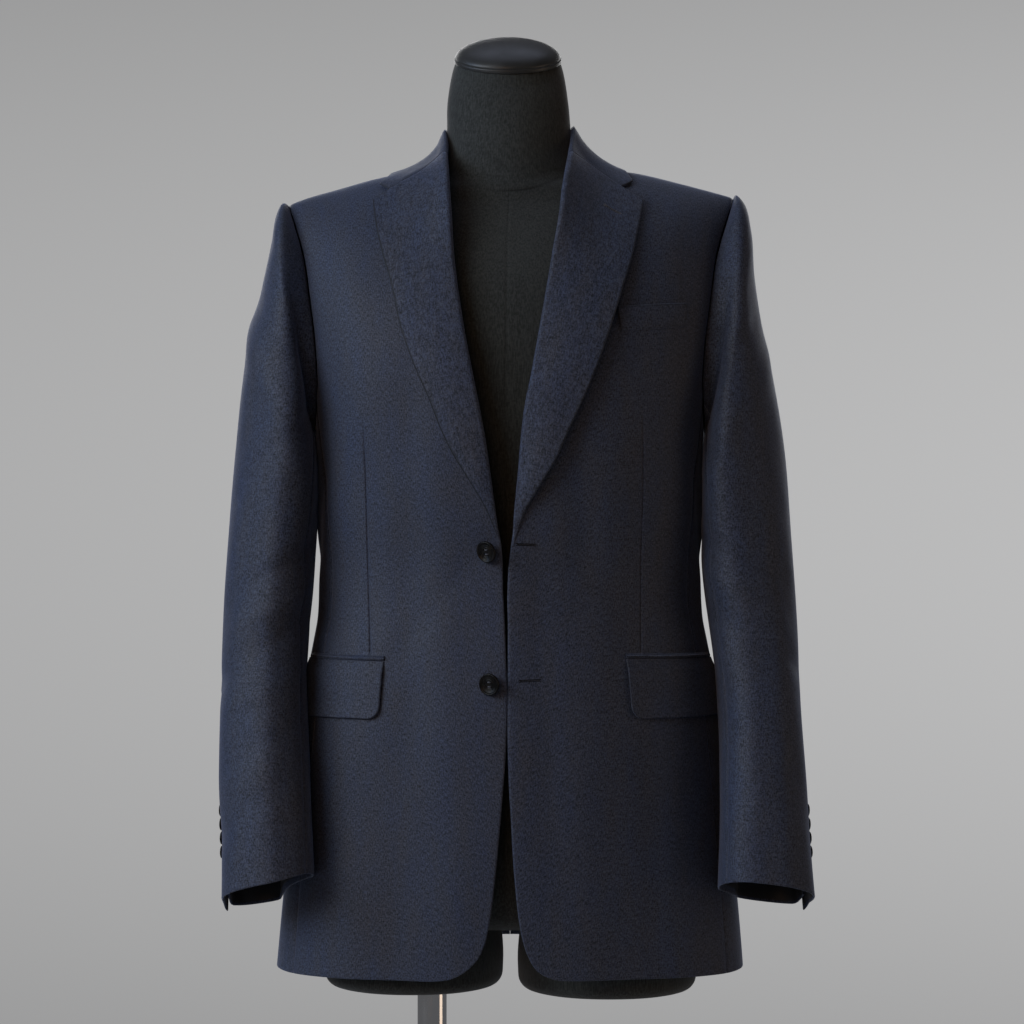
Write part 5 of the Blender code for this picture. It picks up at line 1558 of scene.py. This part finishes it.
def stub_piece(across, up):
    """One leg stub, to be joined to the form."""
    rows = np.array([[STUB["side"][i], STUB["front"][i], STUB["back"][i], up + STUB["above"][i]]
                     for i in range(len(STUB["above"]))])
    knots = lengths(rows)
    at = np.concatenate([np.linspace(0, knots[3], 12), np.linspace(knots[3], knots[-1], 10)[1:]])
    round_stub = np.linspace(0, 360, STUB_COLUMNS, endpoint=False)
    rings = [form_ring({"across": across, "side": side, "front": front_deep, "back": back_deep,
                        "up": height, "middle": 0, "square": STUB_SQUARE}, round_stub)
             for side, front_deep, back_deep, height in read(rows, at, knots)]
    return placed("stub", mesh_from("stub", *capped(rings)))


def torso():
    degrees = form_angles()
    rings = [form_ring({name: FORM[name][i] for name in FORM}, degrees)
             for i in range(len(FORM["up"]))]
    rings += [neck_top_ring((NECK_TOP_RADIUS + wider) * MM, below * MM, degrees)
              for wider, below in zip(NECK_END["wider"], NECK_END["below"])]
    rings = np.array(rings)
    apart = np.linalg.norm(np.diff(rings.mean(axis=1), axis=0), axis=1)
    knots = np.concatenate([[0], np.cumsum(apart + KNOT_MORE)])
    fine = read(rings, form_steps(rings, knots), knots)
    outward = fine - fine.mean(axis=1, keepdims=True)
    outward[..., 2] = 0
    outward /= np.linalg.norm(outward, axis=-1, keepdims=True)
    gap = from_form_seam(degrees)
    below_neck = 1 - ramp(fine[..., 2], *FORM_SEAM_TOP)
    groove = FORM_SEAM_DEPTH * np.exp(-(gap / FORM_SEAM_WIDTH) ** 2)[None] * below_neck
    seam_up = smooth(NECK_SEAM["across"] * MM, NECK_SEAM["up"] * MM, fine[..., 0])
    groove = groove + FORM_SEAM_DEPTH * np.exp(-((fine[..., 2] - seam_up) / NECK_SEAM_WIDTH) ** 2)
    seam_dark_and_edge_shadow = (np.exp(-((fine[..., 2] - seam_up) / NECK_SEAM_DARK) ** 2)
            * (0.25 + 0.75 * ramp(fine[..., 0], *NECK_SEAM_FADE)))
    seam_dark_and_edge_shadow = np.maximum(seam_dark_and_edge_shadow, FORM_SEAM_DARK * (groove / FORM_SEAM_DEPTH).clip(0, 1) * below_neck)
    fine = fine - outward * groove[..., None]
    body = ring_piece("torso_form", fine, "jersey")
    hold(body.data, "seam_dark_and_edge_shadow", seam_dark_and_edge_shadow)
    stubs = [stub_piece(*place) for place in zip(STUBS["across"], STUBS["up"])]
    body.data = combined(body, "UNION", stubs)
    body.data.shade_smooth()
    body.data.set_sharp_from_angle(angle=math.radians(FORM_SHARP))
    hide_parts("form_torso")


def rounded(profile, steps=10):
    """A turned profile with each corner marked by a radius made round."""
    out = []
    for k, (radius, height, corner) in enumerate(profile):
        if not corner:
            out.append((radius, height))
            continue
        here = np.array([radius, height])
        before, after = (np.array(profile[k + d][:2], float) - here for d in (-1, 1))
        start = here + before / np.linalg.norm(before) * corner
        end = here + after / np.linalg.norm(after) * corner
        for t in np.linspace(0, 1, steps):
            out.append(tuple((1 - t) ** 2 * start + 2 * t * (1 - t) * here + t * t * end))
    return out


CAP_RIM = 0.0003  # how far its rim stands past the neck
CAP_LOW, CAP_SHOULDER, CAP_HEIGHT = -0.0030, 0.0012, 0.0168


def neck_cap():
    r = NECK_TOP_RADIUS * MM
    within, rim = 0.985 * r, r + CAP_RIM
    profile = rounded([(0.001, CAP_LOW, 0), (within, CAP_LOW, 0), (rim, -0.0026, 0.0003),
                       (rim, 0.0004, 0.0008), (within, CAP_SHOULDER, 0)], 5)
    profile += [(within * math.cos(t * math.pi / 2) ** 0.9 + 0.0002,
                 CAP_SHOULDER + CAP_HEIGHT * math.sin(t * math.pi / 2) ** 1.15)
                for t in np.linspace(0, 1, 26)[1:]]
    rings = np.array(turned_rings(profile, 96))
    place = np.array(Matrix.Rotation(NECK_TILT, 3, "X"))
    piece = ring_piece("neck_cap_dome", rings @ place.T + np.array(NECK_TOP), "cap")
    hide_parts("neck_cap")


POLE_CLEAR = 0.0005  # between the pole and the rings round it
FLANGE_LIP, FLANGE_SHOULDER = 0.005, (0.0195, 0.0065)
FLANGE_NECK = 0.0180


def stand():
    foot, head = BASE_THICKNESS + GAP, STUBS["up"][0] * MM - GAP
    bore = POLE_RADIUS + POLE_CLEAR
    socket_low, flange_top = head - SOCKET_HEIGHT, foot + FLANGE_HEIGHT
    at_pole = (POLE_X, 0)
    pole = rounded([(0.002, foot, 0), (POLE_RADIUS, foot, 0.0006), (POLE_RADIUS, head, 0.0006),
                    (0.002, head, 0)], 4)
    socket = rounded([(bore, socket_low, 0), (SOCKET_RADIUS, socket_low, 0.0012),
                      (SOCKET_RADIUS, head, 0.0008), (bore, head, 0)], 6)
    shoulder, shoulder_up = FLANGE_SHOULDER
    flange = rounded([(bore, foot, 0), (FLANGE_RADIUS, foot, 0.0004),
                      (FLANGE_RADIUS, foot + FLANGE_LIP, 0.0020),
                      (shoulder, foot + shoulder_up, 0.0020),
                      (FLANGE_NECK, flange_top, 0.0012), (bore, flange_top, 0)], 7)
    r, t = BASE_RADIUS, BASE_THICKNESS
    base = rounded([(0.004, 0, 0), (r, 0, 0.0010), (r, t, 0.0045), (0.040, t, 0), (0.004, t, 0)], 9)
    for name, node, profile, steps, at, finish, slot in (
        ("stand_pole", "pole", pole, 72, at_pole, "chrome", "chrome"),
        ("stand_socket", "pole_socket", socket, 72, at_pole, "chrome", "chrome"),
        ("stand_flange", "pole_flange", flange, 72, at_pole, "chrome", "chrome"),
        ("stand_base", "base_plate", base, 160, (0, 0), "steel", "base_steel"),
    ):
        rings = turned_rings(profile, steps, at)
        if node in ("pole_socket", "pole_flange"):
            points, quads = closed_rings([*rings, rings[0]])
            piece = new_piece(name, mesh_from(name, points, quads.tolist(), sharp=SHARP), finish)
            bm = bmesh.new()
            bm.from_mesh(piece.data)
            bmesh.ops.remove_doubles(bm, verts=bm.verts[:], dist=1e-6)
            bm.to_mesh(piece.data)
            bm.free()
        else:
            piece = ring_piece(name, rings, finish)
        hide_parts(node)
    knob()


KNOB_UP, KNOB_WAY, KNOB_STEPS = 0.0100, (0.6, 0.8), 40  # its height, and where it points
SCREW_RING, SCREW_COUNT, SCREW_FIRST = 0.0248, 3, 30
SCREW_UP = 0.0030


def knob():
    """The grip screw in the side of the flange, and the screws that hold it down."""
    up = BASE_THICKNESS + GAP + KNOB_UP
    way_x, way_y = KNOB_WAY
    profile = rounded([(0.0004, 0.0165, 0), (0.0022, 0.0165, 0.0003), (0.0022, 0.0215, 0),
                       (0.0058, 0.0215, 0.0008), (0.0058, 0.0285, 0.0010), (0.0004, 0.0285, 0)], 4)
    rings = np.array(turned_rings(profile, KNOB_STEPS))
    wide = np.array(profile)[:, :1] > 0.005
    ribs = 1 + 0.05 * np.cos(np.arange(KNOB_STEPS) * np.pi) * wide
    rings[..., :2] *= ribs[..., None]
    sideways = np.stack([POLE_X + rings[..., 2] * way_x, rings[..., 2] * way_y,
                         up + rings[..., 1]], -1)
    sideways[..., 0] -= rings[..., 0] * way_y
    sideways[..., 1] += rings[..., 0] * way_x
    parts = [(*capped(sideways), 0)]
    foot = BASE_THICKNESS + GAP + SCREW_UP
    for k in range(SCREW_COUNT):
        at = math.radians(SCREW_FIRST + 360 // SCREW_COUNT * k)
        place = (POLE_X + SCREW_RING * math.cos(at), SCREW_RING * math.sin(at))
        screw = rounded([(0.0003, foot, 0), (0.0030, foot, 0), (0.0030, foot + 0.0030, 0.0008),
                         (0.0014, foot + 0.0036, 0), (0.0013, foot + 0.0026, 0),
                         (0.0003, foot + 0.0026, 0)], 4)
        parts.append((*capped(turned_rings(screw, 24, place)), 0))
    name = "stand_screws"
    piece = new_piece(name, mesh_from(name, *join(parts), sharp=SHARP), "chrome")


# ---------------------------------------------------------------- finishes

def start_finish(name, color, roughness, **values):
    """A new material, its node tree and its shader. The values are constants on the shader."""
    made = bpy.data.materials.new(name)
    made.use_nodes = True
    tree = made.node_tree
    shader = tree.nodes["Principled BSDF"]
    shader.inputs["Base Color"].default_value = (*color, 1)
    shader.inputs["Roughness"].default_value = roughness
    for key, value in values.items():
        shader.inputs[key.replace("_", " ")].default_value = value
    return made, tree, shader


def node(tree, kind, **inputs):
    """A node whose inputs are set to values or linked to sockets, by name or by number as _0."""
    made = tree.nodes.new(kind)
    for key, value in inputs.items():
        if key.startswith("set_"):
            setattr(made, key[4:], value)
            continue
        socket = made.inputs[int(key[1:]) if key[1:].isdigit() else key.replace("_", " ")]
        if isinstance(value, bpy.types.NodeSocket):
            tree.links.new(value, socket)
        else:
            socket.default_value = value
    return made


def math_node(tree, operation, *values):
    made = node(tree, "ShaderNodeMath", set_operation=operation,
                **{f"_{i}": value for i, value in enumerate(values)})
    return made.outputs[0]


def noise(tree, where, scale, detail=2.0, rough=0.5):
    """Noise over coordinates stretched by scale."""
    spread = node(tree, "ShaderNodeMapping", Vector=where, Scale=scale).outputs[0]
    return node(tree, "ShaderNodeTexNoise", Vector=spread, Scale=1.0, Detail=detail,
                Roughness=rough).outputs[0]


def mixed(tree, factor, a, b):
    made = node(tree, "ShaderNodeMix", set_data_type="RGBA", _0=factor, _6=a, _7=b)
    return made.outputs[2]


def spread_out(tree, value, low, high, to_low=0.0, to_high=1.0):
    return node(tree, "ShaderNodeMapRange", Value=value, _1=low, _2=high, _3=to_low,
                _4=to_high).outputs[0]


def length_of(tree, vector):
    return node(tree, "ShaderNodeVectorMath", set_operation="LENGTH", _0=vector).outputs[1]


def weighted(tree, *parts):
    """The sum of some values, each times its weight."""
    *first, total = [math_node(tree, "MULTIPLY", value, weight) for value, weight in parts]
    for value in reversed(first):
        total = math_node(tree, "ADD", value, total)
    return total


def held(tree, name, output="Fac"):
    """What the mesh keeps of each point under a name."""
    return node(tree, "ShaderNodeAttribute", set_attribute_name=name).outputs[output]


def colored(tree, shader, factor, low, high):
    """Mixes the shader's colour from two, by a factor."""
    tree.links.new(mixed(tree, factor, (*low, 1), (*high, 1)), shader.inputs["Base Color"])


def roughened(tree, shader, *spread):
    """Spreads a value over a range as the shader's roughness."""
    tree.links.new(spread_out(tree, *spread), shader.inputs["Roughness"])


def object_place(tree):
    return node(tree, "ShaderNodeTexCoord").outputs["Object"]


def bump(tree, shader, height, distance, strength):
    made = node(tree, "ShaderNodeBump", Strength=strength, Distance=distance, Height=height)
    tree.links.new(made.outputs[0], shader.inputs["Normal"])


BLUE = (0.0190, 0.0272, 0.0560)
GREY = (0.0226, 0.0283, 0.0470)
BROWN = (0.0268, 0.0285, 0.0395)


def suiting():
    """Sharkskin: navy and grey threads in a fine twill, which drifts between blue and brown."""
    made, tree, shader = start_finish("suiting_cloth", GREY, 0.66, Sheen_Weight=0.22,
                                      Sheen_Roughness=0.42, Sheen_Tint=(0.55, 0.66, 1.0, 1),
                                      Specular_IOR_Level=0.28)
    grain = held(tree, "grain", "Vector")
    warp = noise(tree, grain, (1150, 340, 1150), 1.5)
    weft = noise(tree, grain, (220, 1150, 220), 1.5)
    fleck = noise(tree, grain, (820, 580, 820), 1.0)
    drift = noise(tree, grain, (58, 16, 58), 3.0, 0.6)
    broad = noise(tree, grain, (11, 4, 11), 2.0)
    thread = weighted(tree, (warp, 0.45), (weft, 0.25), (fleck, 0.30))
    hue = weighted(tree, (drift, 0.40), (broad, 0.20), (fleck, 0.40))
    tone = mixed(tree, spread_out(tree, hue, 0.36, 0.52), (*BLUE, 1), (*GREY, 1))
    tone = mixed(tree, spread_out(tree, hue, 0.50, 0.66), tone, (*BROWN, 1))
    # painted shadow: the colour is darkened towards the free edges of lapels, collar and trims, as
    # shade under a pressed edge
    tone = mixed(tree, held(tree, "seam_dark_and_edge_shadow"), tone, (0.003, 0.0034, 0.0052, 1))
    light = spread_out(tree, thread, 0.36, 0.64, 0.10, 2.08)
    color = node(tree, "ShaderNodeVectorMath", set_operation="SCALE", _0=tone, Scale=light)
    tree.links.new(color.outputs[0], shader.inputs["Base Color"])
    roughened(tree, shader, thread, 0.3, 0.7, 0.74, 0.58)
    bump(tree, shader, thread, 0.0005, 0.35)
    return made


def lining():
    made, tree, shader = start_finish("lining_satin", (0.006, 0.0065, 0.009), 0.42,
                                      Sheen_Weight=0.1, Specular_IOR_Level=0.4)
    grain = held(tree, "grain", "Vector")
    weft = noise(tree, grain, (60, 1400, 60), 1.0)
    colored(tree, shader, weft, (0.0045, 0.005, 0.007), (0.009, 0.0095, 0.013))
    bump(tree, shader, weft, 0.0003, 0.2)
    return made


def jersey():
    made, tree, shader = start_finish("jersey_knit", (0.021, 0.022, 0.0215), 0.85,
                                      Sheen_Weight=0.12, Sheen_Roughness=0.5,
                                      Specular_IOR_Level=0.2)
    place = object_place(tree)
    rib = noise(tree, place, (900, 900, 130), 1.0)
    knots = noise(tree, place, (420, 420, 520), 1.5)
    worn = noise(tree, place, (14, 14, 9), 3.0)
    mix = weighted(tree, (rib, 0.5), (knots, 0.3), (worn, 0.2))
    tone = mixed(tree, spread_out(tree, mix, 0.38, 0.62), (0.0138, 0.0156, 0.0152, 1),
                 (0.036, 0.0400, 0.0392, 1))
    tone = mixed(tree, held(tree, "seam_dark_and_edge_shadow"), tone, (0.004, 0.0042, 0.0042, 1))
    tree.links.new(tone, shader.inputs["Base Color"])
    bump(tree, shader, mix, 0.0006, 0.35)
    return made


def horn():
    made, tree, shader = start_finish("button_horn_dark", (0.010, 0.010, 0.011), 0.28,
                                      Specular_IOR_Level=0.11)
    place = object_place(tree)
    streak = noise(tree, place, (380, 90, 60), 4.0, 0.65)
    colored(tree, shader, spread_out(tree, streak, 0.42, 0.66), (0.0030, 0.0030, 0.0034),
            (0.0095, 0.0088, 0.0080))
    roughened(tree, shader, streak, 0.3, 0.7, 0.20, 0.32)
    return made


def silk(name, color, roughness, dark, light, **values):
    """Twisted silk thread."""
    made, tree, shader = start_finish(name, color, roughness, **values)
    twist = noise(tree, object_place(tree), (2600, 2600, 2600), 1.0)
    colored(tree, shader, spread_out(tree, twist, 0.35, 0.65), dark, light)
    bump(tree, shader, twist, 0.0003, 0.5)
    return made


def thread():
    return silk("silk_thread", (0.016, 0.019, 0.032), 0.55, (0.008, 0.010, 0.017),
                (0.034, 0.038, 0.058), Sheen_Weight=0.3)


def dark_thread():
    return silk("silk_thread_dark", (0.004, 0.004, 0.006), 0.8, (0.0016, 0.0016, 0.0022),
                (0.0060, 0.0064, 0.0085), Specular_IOR_Level=0.1)


def shadow():
    made, tree, shader = start_finish("slit_dark", (0.002, 0.002, 0.003), 0.95)
    fibre = noise(tree, object_place(tree), (1500, 1500, 1500), 1.0)
    colored(tree, shader, fibre, (0.0012, 0.0012, 0.0018), (0.004, 0.004, 0.006))
    return made


def cap():
    made, tree, shader = start_finish("cap_satin", (0.024, 0.025, 0.026), 0.42,
                                      Specular_IOR_Level=0.36)
    place = object_place(tree)
    grit = noise(tree, place, (1300, 1300, 1300), 2.0)
    wipe = noise(tree, place, (60, 14, 60), 3.0)
    colored(tree, shader, wipe, (0.0120, 0.0126, 0.0128), (0.0205, 0.0213, 0.0215))
    roughened(tree, shader, wipe, 0.3, 0.7, 0.36, 0.50)
    bump(tree, shader, grit, 0.0002, 0.12)
    return made


def chrome():
    made, tree, shader = start_finish("chrome_bright", (0.62, 0.63, 0.64), 0.10, Metallic=1.0)
    smear = noise(tree, object_place(tree), (40, 40, 9), 4.0, 0.6)
    colored(tree, shader, smear, (0.57, 0.58, 0.595), (0.67, 0.675, 0.68))
    roughened(tree, shader, smear, 0.35, 0.7, 0.05, 0.17)
    return made


def steel():
    made, tree, shader = start_finish("steel_brushed", (0.50, 0.51, 0.52), 0.30, Metallic=1.0)
    place = object_place(tree)
    apart = node(tree, "ShaderNodeSeparateXYZ", Vector=place)
    flat = node(tree, "ShaderNodeCombineXYZ", X=apart.outputs[0], Y=apart.outputs[1])
    radius = length_of(tree, flat.outputs[0])
    rings = node(tree, "ShaderNodeCombineXYZ", X=math_node(tree, "MULTIPLY", radius, 1500.0),
                 Y=apart.outputs[0], Z=apart.outputs[1])
    brush = node(tree, "ShaderNodeTexNoise", Vector=rings.outputs[0], Scale=1.0, Detail=3.0)
    brush = brush.outputs[0]
    worn = noise(tree, place, (9, 9, 9), 4.0, 0.6)
    both = weighted(tree, (brush, 0.6), (worn, 0.4))
    colored(tree, shader, both, (0.40, 0.41, 0.42), (0.58, 0.585, 0.59))
    roughened(tree, shader, both, 0.35, 0.65, 0.22, 0.42)
    bump(tree, shader, brush, 0.0002, 0.15)
    return made


FINISHES = {made.__name__: made for made in (suiting, lining, jersey, horn, thread, dark_thread,
                                             shadow, cap, chrome, steel)}
MADE = {}


def finish_named(name):
    """The material of a finish, which is made once."""
    if name not in MADE:
        MADE[name] = FINISHES[name]()
    return MADE[name]


# ---------------------------------------------------------------- camera, light and floor

CAMERA_AT = (0.0019, -2.9, 1.16)
CAMERA_LENS = 36 * 2.9 / 0.9728
AMBIENT = (0.002, 0.002, 0.002)
MIRRORED = (0.13, 0.13, 0.135)
FLOOR_SIZE, FLOOR_FADE = 4.2, (1.6, 3.8)
# The backdrop's level, how much it falls to one side, and how fast and how far it falls with
# height, which it does more on the lighter side.
LEVEL, LEVEL_ASIDE = 0.461, 0.046
LEVEL_FALL, LEVEL_FALL_MOST, LEVEL_SKEW = 3.8, 0.13, 3.4
# Area lights: name, place, what each faces, its size, watts and colour.
LIGHTS = [
    ("key", (-2.3, -2.3, 2.5), (0, 0, 1.15), (1.5, 1.5), 35, (0.92, 1.0, 1.06)),
    ("between", (-2.8, -1.7, 2.1), (0, 0, 1.1), (1.4, 1.6), 24, (1.02, 0.99, 0.99)),
    ("side", (-3.1, -0.9, 2.3), (0, 0, 1.15), (1.4, 1.6), 26, (0.68, 0.97, 1.42)),
    ("front", (-0.8, -3.3, 2.0), (0, 0, 1.15), (1.5, 1.5), 7.3, (1.75, 1.0, 0.5)),
    ("right", (2.9, -0.7, 1.2), (0, 0, 1.1), (1.4, 1.6), 7, (1.3, 1.0, 0.75)),
    ("top", (0.0, 0.3, 3.2), (0, 0, 1.3), (1.6, 1.2), 5, (0.9, 1.0, 1.3)),
    ("rear_left", (-0.9, 3.1, 2.2), (0, 0, 1.1), (1.6, 1.6), 34, (1, 1, 1)),
    ("rear_right", (1.1, 3.1, 2.0), (0, 0, 1.1), (1.6, 1.6), 26, (1, 1, 1)),
]


def area_light(name, at, target, size, power, color):
    lamp = bpy.data.lights.new(name, "AREA")
    lamp.shape, lamp.size, lamp.size_y = "RECTANGLE", *size
    lamp.energy, lamp.color = power, color
    thing = placed(name, lamp)
    thing.location = at
    thing.rotation_euler = (Vector(target) - thing.location).to_track_quat("-Z", "Y").to_euler()


def backdrop():
    """A pale grey backdrop for the camera, a little lighter at mid height and to one side."""
    world = bpy.data.worlds.new("studio")
    bpy.context.scene.world = world
    world.use_nodes = True
    tree = world.node_tree
    tree.nodes.clear()
    way = node(tree, "ShaderNodeTexCoord").outputs["Generated"]
    apart = node(tree, "ShaderNodeSeparateXYZ", Vector=way)
    sideways = spread_out(tree, apart.outputs[0], -0.2, 0.2, -LEVEL_ASIDE, LEVEL_ASIDE)
    height = math_node(tree, "MULTIPLY", apart.outputs[2], apart.outputs[2])
    height = math_node(tree, "MULTIPLY", height, LEVEL_FALL)
    height = math_node(tree, "MINIMUM", height, LEVEL_FALL_MOST)
    skew = math_node(tree, "ADD", math_node(tree, "MULTIPLY", sideways, LEVEL_SKEW), 1.0)
    height = math_node(tree, "MULTIPLY", height, skew)
    level = math_node(tree, "SUBTRACT", math_node(tree, "ADD", sideways, LEVEL), height)
    shown = node(tree, "ShaderNodeBackground", Color=(0.995, 0.995, 1.0, 1), Strength=level)
    lit = node(tree, "ShaderNodeBackground", Color=(*AMBIENT, 1), Strength=1.0)
    mirrored = node(tree, "ShaderNodeBackground", Color=(*MIRRORED, 1), Strength=1.0)
    path = node(tree, "ShaderNodeLightPath")
    which = node(tree, "ShaderNodeMixShader", _0=path.outputs["Is Glossy Ray"], _1=lit.outputs[0],
                 _2=mirrored.outputs[0])
    which = node(tree, "ShaderNodeMixShader", _0=path.outputs["Is Camera Ray"], _1=which.outputs[0],
                 _2=shown.outputs[0])
    node(tree, "ShaderNodeOutputWorld", Surface=which.outputs[0])


def floor():
    """A pale floor that fades into the backdrop well away from the stand."""
    mesh = bpy.data.meshes.new("floor")
    h = FLOOR_SIZE
    mesh.from_pydata([(-h, -h, 0), (h, -h, 0), (h, h, 0), (-h, h, 0)], [], [(0, 1, 2, 3)])
    made, tree, shader = start_finish("floor_paper", (0.52, 0.52, 0.525), 0.9)
    place = object_place(tree)
    radius = length_of(tree, place)
    paper = noise(tree, place, (3, 3, 3), 4.0)
    colored(tree, shader, paper, (0.50, 0.50, 0.505), (0.54, 0.54, 0.545))
    tree.links.new(spread_out(tree, radius, *FLOOR_FADE, 1.0, 0.0), shader.inputs["Alpha"])
    mesh.materials.append(made)
    piece = placed("studio_floor", mesh)


def studio():
    camera = bpy.data.cameras.new("camera")
    camera.sensor_width, camera.lens = 36, CAMERA_LENS
    camera.clip_start, camera.clip_end = 0.05, 60
    thing = placed("camera", camera)
    thing.location, thing.rotation_euler = CAMERA_AT, (math.pi / 2, 0, 0)
    bpy.context.scene.camera = thing
    backdrop()
    floor()
    for light in LIGHTS:
        area_light(*light)
    view = bpy.context.scene.view_settings
    view.view_transform, view.look = "Standard", "None"
    view.exposure, view.gamma = 0.0, 1.0


# ---------------------------------------------------------------- the whole scene

def main():
    studio()
    torso()
    neck_cap()
    stand()
    fronts, lapels, tops = {}, {}, {}
    for side in (RIGHT, LEFT):
        fronts[side] = front(side)
        side_body(side)
        back(side)
        lapels[side], *tops[side] = lapel(side)
        sleeve(side)
        flap(side)
        cuff_buttons(side)
    collar(tops)
    breast_welt()
    front_buttons()
    for name, start, end in (("upper", (6.3, 1131.8), (23.5, 1130.8)),
                             ("lower", (9.0, 1006), (28.0, 1006.8))):
        buttonhole(f"buttonhole_{name}", fronts[LEFT], LEFT, start, end, 0.0008, 0.00027,
                   "dark_thread")
    buttonhole("buttonhole_lapel", lapels[LEFT], LEFT, (86.5, 1440), (101.6, 1432.7),
               0.0006, 0.00028, "thread", eye=0.0012)


main()
